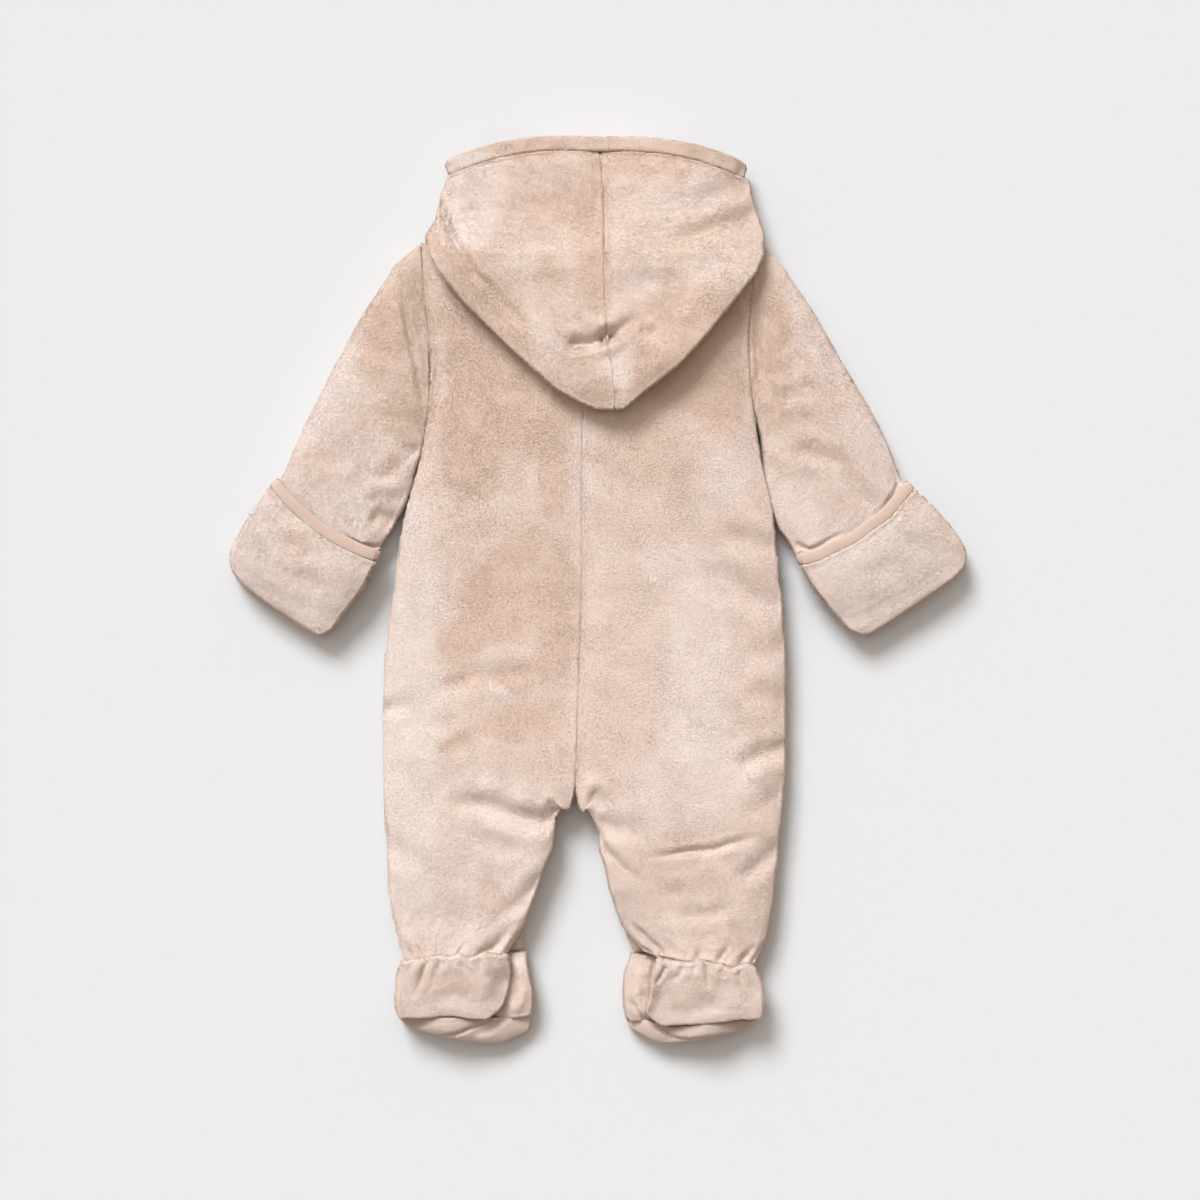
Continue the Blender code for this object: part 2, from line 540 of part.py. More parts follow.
def hood_half(name, rows, side_way):
    """Half of the hood: its upper layer from the centre seam to the folded side, and the lower layer back from it."""
    sections = []
    for row in rows:
        seam = Vector((row.x_seam + side_way * SEAM_GAP / 2, row.y_seam))
        fold = Vector((row.x_fold, row.y_fold))
        width = (fold - seam).length
        body = row.crown - row.base - HOOD_GAP
        upper, lower = body * 0.56, body * 0.44
        edge = min(14.0, 0.4 * width)
        inset = min(10.0, 0.4 * width)
        turn = row.base + lower + HOOD_GAP / 2
        near = min(6.0, 0.2 * width)
        flat = width - edge - near
        over = [0, near] + [near + flat * share for share in (0.2, 0.4, 0.6, 0.8, 1)]
        over += [width - edge * share for share in (0.5, 0.15)]
        end = width * (1 - row.reach)
        below = [width - edge * share for share in (0.1, 0.3, 0.7)]
        below += [below[-1] + (end - below[-1]) * share for share in (0.25, 0.5, 0.75, 1)]

        def across(place):
            return between(seam, fold, place / width, -side_way * row.bow)

        outer, inner = [], []
        for place in over:
            level = min(place / max(end, 1.0), 1) if row.reach < 0.9 else place / width
            crown = row.seam + (row.crown - row.seam) * (0.5 - 0.5 * math.cos(math.pi * level))
            x, y = across(place)
            stitched = 1.6 * (1 - turned(place, near))
            z = crown - (row.crown - turn) * (1 - turned(width - place, edge)) * 0.98 - stitched
            outer.append((x, y, z - folded(x, y, min(max((z - turn - 3) / 6, 0), 1))))
            inner.append((*across(min(place, width - inset)), crown - upper))
        outer.append((fold.x, fold.y, turn))
        inner.append((*across(width - inset), turn))
        for place in below:
            level = min((width - place) / (0.7 * edge), 1)
            outer.append((*across(place), row.base + (turn - row.base) * (1 - turned(level, 1)) * 0.9))
            inner.append((*across(min(place, width - inset)), row.base + lower))
        sections.append((outer, inner))
    return wall(name, sections, PLUSH)


def hood_brim(name, left, right):
    """The channel around the face opening, along the first sections of the two halves of the hood."""
    rings = []
    stations = [(left, -1, share) for share in (1.0, 0.97, 0.9, 0.8, 0.64, 0.48, 0.32, 0.16)]
    stations += [(right, 1, share) for share in (0.0, 0.16, 0.32, 0.48, 0.64, 0.8, 0.9, 0.97, 1.0)]
    centres = []
    for row, side_way, share in stations:
        seam, fold = Vector((row.x_seam, row.y_seam)), Vector((row.x_fold, row.y_fold))
        here = between(seam, fold, share, -side_way * row.bow)
        level = 0.5 - 0.5 * math.cos(math.pi * min(share / (1 - row.reach), 1))
        height = row.seam + (row.crown - row.seam) * level
        drop = (height - 6.0) * (1 - turned((1 - share) * (fold - seam).length, 14.0)) * 0.8
        centres.append((here, max(height - drop - BRIM_HEIGHT / 2, BRIM_HEIGHT * 0.53 + 0.2)))
    for k, (here, z) in enumerate(centres):
        ahead, behind = centres[min(k + 1, len(centres) - 1)][0], centres[max(k - 1, 0)][0]
        along = (ahead - behind).normalized()
        aside = Vector((-along.y, along.x))
        at_end = 0.62 if k in (0, len(centres) - 1) else 1.0
        centre = here + aside * (BRIM_WIDTH * 0.53 + 0.6)
        rings.append(oval((*centre, z), aside, BRIM_WIDTH * at_end, BRIM_HEIGHT * at_end))
    return band(name, rings, PLUSH)


def heel(name, rows):
    """The padded heel of a foot, gathered into the ankle."""
    sections = []
    for row in smooth(rows):
        start, end = (row.x_out, row.y_out), (row.x_in, row.y_in)
        width = (Vector(end) - Vector(start)).length
        places = spread(width, row.round, row.round, 3)
        top, under = [], []
        for k, place in enumerate(places):
            x, y = between(start, end, place / width)
            rise = min(turned(place, row.round), turned(width - place, row.round))
            top.append((x, y, HEEL_EDGE + (row.crown - HEEL_EDGE) * rise + pleated(k, len(places), row.pleat)))
            under.append((x, y, HEEL_FLOOR))
        sections.append((top, under))
    return wall(name, sections, PLUSH)


def vamp(name, rows):
    """The front of a foot, under the heel, which bulges up beside it on the inside of the foot."""
    sections = []
    for row in rows:
        start, end = (row.x_out, row.y_out), (row.x_in, row.y_in)
        width = (Vector(end) - Vector(start)).length
        cover = abs(row.x_cover - row.x_out)
        bulge = width - cover
        profile = [(0, 0.45), (2, 0.8), (8, 1), (cover * 0.5, 1), (cover, 1)]
        top, low = [], []
        for place, share in profile:
            top.append((*between(start, end, place / width), VAMP_EDGE + (row.wall - VAMP_EDGE) * share))
        for share, rise in ((0.2, 0.6), (0.45, 1), (0.7, 0.9), (0.92, 0.45), (1, 0)):
            z = row.wall + (row.crown - row.wall) * rise if rise > 0 else VAMP_EDGE + 2
            top.append((*between(start, end, (cover + bulge * share) / width), z))
        for x, y, _ in top:
            place = (Vector((x, y)) - Vector(start)).length
            low.append((x, y, VAMP_EDGE * (1 - min(turned(place, 10), turned(width - place, 8)))))
        sections.append((top, low))
    return wall(name, sections, PLUSH)


def sole(name, rows):
    """The sole of a foot, standing on its toe end, with the edge of its far side rounded."""
    sections = []
    for row in smooth(rows):
        near, far = (row.x_near, row.y_near), (row.x_far, row.y_far)
        top, low = [], []
        for share, rise, fall in ((0, 0.86, 0), (0.35, 1, 0), (0.62, 0.97, 0), (0.86, 0.75, 0.1), (1, 0.45, 0.3)):
            place = between(near, far, share)
            top.append((*place, row.crown * rise))
            low.append((*place, row.crown * fall))
        sections.append((top, low))
    return wall(name, sections, SOLE_PLUSH)


def front_zip(rows):
    """The zip's tape and closed chain, sunk between the edges of the front and tapered where they meet below it."""
    route = [(row.x_seam, row.y_seam, ZIP_WIDTH) for row in rows if ZIP_FOOT <= row.y_seam < ZIP_HEAD]
    route = [(route[0][0], ZIP_HEAD, ZIP_WIDTH)] + route[1:] + [(rows[ZIP_STOP_ROW].x_seam, ZIP_STOP, ZIP_TIP)]
    corners = ((-1, ZIP_FLOOR), (1, ZIP_FLOOR), (1, ZIP_CEILING), (-1, ZIP_CEILING))
    rings = [[(x + side * width / 2, y, z) for side, z in corners] for x, y, width in route]
    return band("front_zip", rings, TAPE)


def zip_slider(x):
    """A thumb slider in one piece, waisted in plan, at the top of the zip and below its tape."""
    half, waist = SLIDER_WIDTH / 2, SLIDER_WIDTH / 2 - 1.2
    outline = [(-half, 1.0), (-half + 1.2, 0.0), (half - 1.2, 0.0), (half, 1.0), (half, 4.0), (waist, 7.5)]
    outline += [(waist, SLIDER_LENGTH - 1.0), (waist - 1.0, SLIDER_LENGTH)]
    outline += [(-across, along) for across, along in reversed(outline[4:])]
    rings = []
    for z, inset in ((SLIDER_FLOOR, 0.85), (SLIDER_FLOOR + 0.5, 1.0), (SLIDER_CEILING, 1.0)):
        rings.append([(x + across * inset, ZIP_HEAD - 2.0 - along, z) for across, along in outline])
    return band("zip_slider", rings, NICKEL)


def centre_origin():
    """Move every mesh so that the origin is below the middle of the whole outline."""
    meshes = [obj.data for obj in bpy.context.scene.objects]
    points = [vertex.co for mesh in meshes for vertex in mesh.vertices]
    middle = [(min(p[axis] for p in points) + max(p[axis] for p in points)) / 2 for axis in (0, 1)]
    for mesh in meshes:
        mesh.transform(Matrix.Translation((-middle[0], -middle[1], 0)))


def main():
    clear_scene()
    for side, side_way, body, ankle in (
        ("left", -1, LEFT_BODY, LEFT_FRONT_ANKLE),
        ("right", 1, RIGHT_BODY, RIGHT_FRONT_ANKLE),
    ):
        back_half(f"back_{side}", body, side_way)
        front_half(f"front_{side}", body, ankle, side_way)
    for side, side_way, rows, body, mitt in (
        ("left", -1, LEFT_SLEEVE, LEFT_BODY, LEFT_MITT),
        ("right", 1, RIGHT_SLEEVE, RIGHT_BODY, RIGHT_MITT),
    ):
        sleeve(f"sleeve_{side}", rows, body, side_way)
        mitt_back(f"mitt_back_{side}", mitt, side_way)
        mitt_palm(f"mitt_palm_{side}", rows[-1], mitt, side_way)
        mitt_binding(f"mitt_binding_{side}", mitt[0], side_way)
    hood_half("hood_left", LEFT_HOOD, -1)
    hood_half("hood_right", RIGHT_HOOD, 1)
    hood_brim("hood_brim", LEFT_HOOD[0], RIGHT_HOOD[0])
    for side, heel_rows, vamp_rows, sole_rows in (
        ("left", LEFT_HEEL, LEFT_VAMP, LEFT_SOLE),
        ("right", RIGHT_HEEL, RIGHT_VAMP, RIGHT_SOLE),
    ):
        heel(f"heel_{side}", heel_rows)
        vamp(f"vamp_{side}", vamp_rows)
        sole(f"sole_{side}", sole_rows)
    front_zip(LEFT_BODY)
    zip_slider(LEFT_BODY[0].x_seam)
    centre_origin()


main()
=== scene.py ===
"""Looks of the baby pramsuit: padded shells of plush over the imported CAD, and the pile that stands on them.

Lengths are millimetres in the source and metres in Blender. +X is the wearer's right, +Y runs to the hood,
and +Z is up.
"""

import math

import bmesh
import bpy
import numpy as np
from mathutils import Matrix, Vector
from mathutils.bvhtree import BVHTree


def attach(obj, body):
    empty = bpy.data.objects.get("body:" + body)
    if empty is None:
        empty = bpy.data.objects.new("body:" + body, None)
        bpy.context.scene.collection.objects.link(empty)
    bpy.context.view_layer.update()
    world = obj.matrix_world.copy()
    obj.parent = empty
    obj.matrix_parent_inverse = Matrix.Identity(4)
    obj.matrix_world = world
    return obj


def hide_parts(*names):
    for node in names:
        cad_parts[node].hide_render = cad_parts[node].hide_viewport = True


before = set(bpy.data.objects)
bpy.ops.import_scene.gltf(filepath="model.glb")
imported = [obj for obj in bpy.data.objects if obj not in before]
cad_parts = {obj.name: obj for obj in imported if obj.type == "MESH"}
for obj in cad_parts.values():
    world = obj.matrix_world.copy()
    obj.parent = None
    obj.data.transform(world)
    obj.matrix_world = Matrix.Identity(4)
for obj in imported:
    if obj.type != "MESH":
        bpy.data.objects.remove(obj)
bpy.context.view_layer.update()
MM = 0.001
SIDES = ("left", "right")
# The points listed below are measured on the garment from this point, mm.
PLACE = np.array((0.33, -0.5, 0.0))

# The camera looks straight down.
CAMERA_HEIGHT = 2.2
CAMERA_SPAN = 0.900
CAMERA_CENTRE = (0.00146, -0.00726)
CAMERA_FOCUS = 0.012  # the height at which the span is seen
SENSOR = 36.0

# The lights. Columns: name, come_from, which is a way in the picture, elevation and width, in degrees, and
# strength.
LIGHTS = [
    ("key", (-0.42, 0.91), 42, 24, 3.25),
    ("softbox", (-0.45, 0.89), 58, 70, 1.18),
]
LIGHT_COLOUR = (0.905, 0.95, 1.0)
FILL = 0.35
FILL_COLOUR = (1.0, 0.84, 0.69)
FLOOR_COLOUR = (0.675, 0.675, 0.675)
BACKDROP_COLOUR = (0.85, 0.85, 0.85)
BACKDROP_REACH = 12.0

VOXEL = 2.8  # of the shells that show
COARSE_VOXEL = 4.5  # of the front, which lies on the floor
FINE_VOXEL = 1.6
PILE_INSET = 1.0  # the CAD's outline is the pile's tips
SEWN_INSET = 0.1  # where a shell meets its neighbour
BINDING_INSET = -0.7  # a binding is folded over a mitt's edge
BINDING_SHOWS = 0.7  # how far a mitt's edge stands back from its binding
FAR_AWAY = 12.0  # neighbours beyond this aren't looked for
SEWN_WITHIN = 4.0  # neighbours within this, to the side, are sewn on
SEAM_DEPTH = 0.6  # of the line between two sewn pieces, below the cloth beside it
SEAM_WIDTH = 0.9
SEAM_GAP = 0.15
LEVEL_OF_PUSHES = 12.0  # how high a point lies that is moved the whole way up or down
TOP_SLOPE = 0.3  # the cloth is smoothed after it is filled wherever it looks up more than this
CROWN = 0.93  # how far a piece's level top looks up
HOOD_CROWN = 0.84
FILL_ROUNDS = 14
FILL_RINGS = 24  # how many rings of points below a piece's level top are reached
MITT_RIM = 22.0  # the thin lower rim of a mitt is smoothed up to here
LEVEL_UNDERSIDE = -0.985  # faces that look down this much are joined
CREASE_END = 0.3  # the share of a crease over which it fades in and out at a closed end
CREASE_FADE = 0.85  # and over which it fades out from an open start
WALL_SHARE = 0.46  # of the thickness of a flattened tube, for each of its walls
WALL_AT_EDGE = 5.0  # where a flattened tube turns over at its sides

PILE_LENGTH = 1.7
PILE_WIDTH = 0.9
PILE_DENSITY = 2.3  # tufts a square millimetre
PILE_TILT = math.radians(65)  # from upright
TILT_SPREAD = 0.2
LEAST_TILT, MOST_TILT = 0.3, 1.38
LAY_SPREAD = 0.6  # how far the tufts lie this way and that
LENGTH_SPREAD = 0.14
ROLL_SPREAD = 0.3
LOOK_LIFTS = (0.12, 0.75)  # pile stands where the cloth is seen from above or from around at these slopes
LOOKS_AROUND = 8
LOOK_REACH = 0.9
ROW_PITCH = 2.3  # of the knit's courses, which show faintly through the pile
FIRST_SEED = 100  # of the pile of the first shell, with the others counted on from it

# From the pale pile that lies away from the light to the tan pile that is brushed up.
PALE = (0.846, 0.719, 0.649)
TAN = (0.754, 0.563, 0.454)
ROOT_PAINTED_SHADE = (0.655, 0.485, 0.385)  # painted shade: the darkest tufts, in the tone of roots in shade between tufts
TONES = 6  # from pale to tan
GRAIN = 0.24  # how far the tone changes over a few tufts
TUFT_GRAIN = 0.13  # and from each tuft to the next
GROUND_PAINTED_SHADE = 0.85  # painted shade: the ground's tone beside the pile's, darkened where it shows between the tufts
# painted shade: the soles' ground and pile are darker copies of the plush's
SOLE_GROUND_PAINTED_SHADE = 0.75
SOLE_PILE_PAINTED_SHADE = 0.86
TAPE_LIGHT = (0.60, 0.45, 0.36)
TAPE_DARK = (0.50, 0.37, 0.29)
TEETH = (0.66, 0.52, 0.43)
NICKEL = (0.66, 0.64, 0.60)
TOOTH_PITCH = 1.3
TOOTH_SIZE = (2.3, 1.05, 0.5)
JERSEY_LIGHT = (0.61, 0.45, 0.37)
JERSEY_DARK = (0.57, 0.415, 0.335)

# ---------------------------------------------------------------- what is placed one by one, mm

# Soft patches of the nap, partly painted light and shade: the broad pale patches over the mitts, the left leg
# and the heels are painted light where those faces slope away from the light, the broad tan ones over the
# hood are painted shade on its top, and two long bands beside the hood's left ridge paint its shade and
# light. Columns: x and y of the middle, half_across, half_along, turn in degrees, and tan, which is how much
# is added.
NAP_BASE = 0.42
PATCHES = [
    # hood: the broad tan patches are painted shade, and the two long bands turned 37 degrees are the painted
    # shade and light of the left ridge
    (-70, 250, 70, 80, 0, 0.06), (-95, 295, 26, 40, 0, -0.22), (-45, 285, 30, 45, 0, 0.12),
    (-35, 232, 12, 16, 0, 0.25), (-60, 245, 14, 14, 0, -0.15), (-4, 260, 15, 62, 0, 0.5),
    (-30, 290, 22, 12, 0, 0.2), (30, 318, 40, 8, -6, 0.4), (38, 270, 10, 9, 0, 0.2),
    (70, 255, 60, 80, 0, 0.1), (60, 295, 32, 16, 10, -0.15), (36, 232, 18, 26, 0, -0.2),
    (75, 262, 34, 5, 14, 0.2), (85, 235, 28, 20, 35, -0.2), (20, 168, 12, 20, -20, -0.4),
    (-92, 222, 9, 66, 37, 0.3), (-70, 228, 9, 60, 37, -0.25), (0, 150, 16, 14, 0, 0.75),
    (-14, 175, 12, 10, 0, 0.3), (-112, 262, 8, 16, -35, 0.2),
    # brim
    (-55, 329, 40, 7, 4, 0.55), (40, 329, 55, 7, -5, 0.5), (-98, 322, 14, 8, 20, -0.2),
    # back, left half
    (-85, 190, 34, 60, 6, 0.75), (-95, 120, 28, 36, 0, 0.7), (-50, 130, 30, 30, 0, 0.55),
    (-92, 84, 18, 16, 0, 0.5), (-34, 86, 11, 34, 4, 0.55), (-57, 80, 8, 30, -4, 0.05),
    (-10, 100, 8, 40, 0, -0.1), (-98, 45, 18, 18, 0, 0.1), (-58, 30, 26, 14, 8, 0.45),
    (-72, -8, 36, 32, 12, 0.62), (-30, -20, 18, 48, 0, 0.5), (-100, -38, 18, 22, -20, 0.5),
    (-50, -22, 10, 14, 0, -0.15), (-85, -66, 38, 6, 12, 0.35), (-55, -62, 20, 12, 0, 0.4),
    (-74, -70, 8, 6, 0, -0.5), (-60, -98, 34, 16, 8, 0.5), (-105, -115, 12, 8, 30, 0.4),
    (-86, -112, 8, 10, 0, -0.2), (-60, -128, 40, 14, 0, 0.12), (-138, 20, 18, 60, 4, -0.35),
    (-140, -80, 24, 70, 0, -0.4), (-150, -92, 8, 5, 20, -0.2), (-132, 180, 10, 60, 8, 0.2),
    # back, right half
    (70, 180, 50, 50, 0, 0.7), (95, 140, 22, 26, 0, 0.45), (30, 100, 40, 22, 0, 0.3),
    (62, 80, 12, 14, 0, 0.2), (98, 88, 18, 20, 0, -0.3), (100, 50, 16, 12, 0, 0.2),
    (55, 45, 20, 20, 0, 0.1), (110, 160, 5, 60, 0, -0.3), (15, 40, 16, 60, 0, 0.1),
    (60, 18, 34, 16, 0, -0.15), (75, -60, 26, 80, 0, -0.35), (15, -70, 24, 70, 0, 0.12),
    (80, -140, 50, 30, 0, -0.15),
    # sleeves
    (-152, 200, 22, 44, -24, 0.52), (-142, 140, 18, 26, -10, 0.55), (-190, 110, 60, 60, 0, -0.08),
    (-168, 165, 16, 14, 0, 0.2), (-200, 150, 16, 50, -32, -0.3), (-165, 128, 16, 10, 0, 0.25),
    (-180, 95, 20, 10, 10, -0.1), (-155, 95, 8, 8, 0, 0.3), (-205, 98, 16, 10, -30, 0.15),
    (-190, 60, 24, 22, 0, -0.2), (-160, 56, 14, 12, 0, 0.3), (128, 200, 16, 34, 6, 0.55),
    (128, 150, 14, 30, 0, 0.4), (150, 150, 18, 8, 12, 0.25), (142, 128, 14, 7, 0, 0.35),
    (176, 140, 10, 16, 20, 0.1), (165, 190, 16, 40, 30, -0.1), (170, 104, 24, 6, -18, 0.25),
    (150, 60, 18, 22, 0, -0.35), (205, 105, 16, 36, 32, -0.3),
    # mitts: the two broad pale patches are painted light
    (-224, 34, 14, 14, 0, 0.3), (-215, 8, 10, 8, 0, 0.25), (-250, 20, 14, 16, 0, -0.1),
    (-205, -10, 14, 12, 0, -0.1), (215, 10, 60, 50, -30, -0.4), (-222, 22, 64, 56, 0, -0.3),
    # legs: the broad pale patch over the left leg is painted light
    (-142, -170, 20, 90, 0, -0.3), (-90, -205, 60, 76, 0, -0.22), (-80, -185, 24, 10, -24, 0.15),
    (-96, -155, 20, 7, 0, 0.25), (-80, -232, 12, 14, 0, 0.3), (-110, -235, 14, 16, 0, 0.12),
    (-60, -205, 24, 20, -40, -0.1), (65, -205, 40, 22, 0, 0.15), (50, -222, 16, 12, 0, 0.15),
    (80, -220, 16, 12, 0, 0.2), (115, -160, 14, 24, 0, 0.1), (118, -225, 14, 20, 0, 0.05),
    (40, -165, 40, 16, 0, -0.1),
    # feet: the two broad pale patches over the heels are painted light
    (-110, -290, 40, 24, 0, -0.15), (80, -296, 46, 24, 0, -0.15), (-112, -290, 24, 9, 0, 0.25),
    (-82, -288, 8, 12, 0, 0.12), (-105, -306, 38, 6, 0, -0.2), (70, -300, 26, 12, 10, 0.15),
    (92, -285, 10, 12, 0, 0.12), (113, -293, 8, 8, 0, 0.2), (40, -290, 12, 14, 0, 0.1),
    (80, -314, 36, 5, 6, -0.2),
]

# Where the pile is ruffled into tufts rather than lying smooth, as patches again, in the same columns.
RUFFLED_BASE = 0.22
RUFFLED = [
    (75, 250, 50, 50, 0, 0.6), (-90, 250, 30, 40, -30, 0.3), (-15, 170, 34, 26, 0, 0.6),
    (30, 175, 22, 20, 0, 0.4), (-170, 150, 60, 120, -30, 0.75), (165, 140, 50, 110, 28, 0.65),
    (-220, 20, 50, 50, 0, 0.6), (215, 20, 50, 50, 0, 0.35), (-95, 120, 34, 50, 0, 0.25),
    (-110, 30, 34, 60, 0, 0.3), (-22, -140, 50, 30, 0, 0.45), (-90, -205, 70, 60, 0, 0.35),
    (70, -215, 60, 50, 0, 0.45), (110, -60, 34, 80, 0, 0.25), (0, -305, 170, 30, 0, 0.3),
]

# Parts of pieces moved over: how the pieces' names begin, and then the moves. Columns: x, y, reach, and the
# way it goes along x, y and z.
PUSHES = [
    # the crotch hangs in two rounds beside the seam
    ("back front", (-22, -150, 9, -1, -9, 0), (-12, -152, 8, 0, -8, 0)),
    ("back_left front_left", (-27, -168, 8, -3, 0, 0), (-37, -190, 11, 3, 0, 0)),
    ("back_right front_right", (3, -192, 9, -2, 0, 0)),
    # the shoulders rise to the hood
    ("sleeve_left back_left front_left", (-134, 249, 13, -1, 9, 0)),
    ("sleeve_right back_right front_right", (122, 250, 12, 3, 8, 0)),
    ("back_left front_left", (-126, 254, 9, -2, 4, 0)),
    # the sleeves lie against the body down to the waist
    ("sleeve_left", (-134, 104, 20, 3, 0, 0), (-141, 74, 14, 2.5, 0, 0)),
    ("sleeve_right", (130, 84, 20, -6, 0, 0), (134, 56, 18, -4, 0, 0)),
    ("back_right front_right", (124, 66, 26, 3, 0, 0)),
    # the ends of the brim, and the hood's corner under one
    ("hood_brim", (-117, 316, 8, 2.5, 0, 0), (114, 314, 9, -4, 0.5, 0)),
    ("hood_right", (110, 304, 8, 2.5, 0, 0)),
    # the hood's lower edges stand off the back
    ("hood", (14, 134, 26, 0, 0, 5), (62, 172, 34, 0, 0, 7), (100, 218, 26, 0, 0, 5),
        (-40, 158, 28, 0, 0, 1)),
    # the hood falls evenly to its brim
    ("hood", (-55, 325, 66, 0, 0, 11), (58, 325, 66, 0, 0, 11), (-50, 232, 46, 0, 0, -7),
        (50, 232, 46, 0, 0, -7)),
    ("hood_right", (112, 262, 40, 0, 0, -4)),
    # the ankles are nearly as full as the legs and the heels
    ("back_left heel_left", (-135, -272, 17, 0, 0, 5), (-108, -273, 17, 0, 0, 6),
        (-80, -271, 17, 0, 0, 5)),
    ("back_right heel_right", (45, -274, 17, 0, 0, 5), (72, -278, 17, 0, 0, 6),
        (100, -280, 17, 0, 0, 5)),
    ("vamp_left", (-65, -280, 8, 0, 0, 4), (-65, -293, 8, 0, 0, 4), (-66, -306, 8, 0, 0, 4)),
    ("heel_left", (-68, -290, 10, 0, 0, -4), (-72, -306, 10, 0, 0, -3)),
    ("vamp_right heel_right", (37, -284, 7, 0, 0, 5), (37, -296, 7, 0, 0, 5),
        (36, -309, 7, 0, 0, 5)),
    # the heels: round at the lower inner corner, wavy at the lower edge, and full above it
    ("heel_left", (-72, -312, 9, 2, -1, 0), (-112, -319, 12, 0, 2.5, 0)),
    ("heel_right", (41, -315, 9, -6, 0, 0), (105, -320, 12, 0, 1.5, 0)),
    # the soles' outer bands come up to the heels
    ("sole_left", (-112, -325, 20, 0, 2.5, 8), (-146, -325, 12, 0, 0, -4)),
    ("sole_right", (80, -328, 20, 0, 1.5, 8), (114, -325, 12, 0, 0, -4)),
    # and the vamps' lower edges to the soles
    ("vamp_left", (-66, -315, 14, 0, -2.5, 0)),
    ("sole_left", (-64, -321, 12, 0, 2.5, 1)),
    ("vamp_right", (32, -314, 12, 1, -3.5, 0)),
    ("sole_right", (36, -325, 11, 0, 4, 3)),
    # the ankles' hems wave with their gathers
    ("back_left front_left heel_left", (-142, -273, 5, 0, -2, 0), (-131, -273, 5, 0, -1.5, 0),
        (-119, -273, 5, 0, 1.2, 0), (-104, -272, 4, 0, 1.8, 0), (-96, -273, 4, 0, -1.8, 0),
        (-84, -272, 5, 0, 1.8, 0)),
    ("back_right front_right heel_right", (60, -276, 8, 0, -1.8, 0), (76, -278, 4, 0, 1.8, 0),
        (87, -279, 4, 0, -1.5, 0), (99, -280, 5, 0, -3, 0), (109, -280, 5, 0, 1.5, 0)),
    # the right mitt's binding lies a little lower
    ("mitt_binding_right mitt_back_right sleeve_right", (162, 30, 14, 0.8, -2.2, 0),
        (188, 42, 14, 0.8, -2.2, 0), (211, 60, 14, 0.8, -2.2, 0)),
]

# Creases of each kind of piece. Columns: width, which is half of it, depth, roll, which is how far the cloth
# rises beside it, open_start and open_end, where it is deepest, and x and y of each point it runs through.
HOOD_CREASES = [
    (4.6, 5.2, 0.9, 0, 1, -26, 182, -16, 184, -6, 184, 6, 188),
    (4.2, 5, 1.2, 1, 0, 6, 188, 13, 191, 22, 198, 33, 205),
    (4.5, 1.8, 0.6, 0, 0, 30, 196, 37, 190, 46, 192),
    (3, 4, 1.8, 1, 0, -119, 288, -108, 262, -91, 236, -53, 194, -34, 172, -20, 156),
    (5, 0.9, 0.5, 0, 0, -104, 246, -84, 216, -60, 190),
    (6, 1.8, 0.8, 0, 1, 46, 261, 70, 264, 92, 272, 116, 282),
    (7, 1.2, 0.5, 0, 1, 68, 286, 84, 294, 104, 302), (6, 0.9, 0.4, 0, 0, 62, 232, 80, 238, 102, 246),
    (6, 0.7, 0.4, 0, 0, 24, 226, 44, 230, 66, 232), (5, 1, 0.5, 1, 0, -86, 322, -74, 310, -70, 296),
    (5, -1.4, 0, 0, 1, -12, 198, -4, 200, 4, 198), (6, 0.8, 0.5, 0, 0, 88, 226, 76, 204, 60, 186),
]
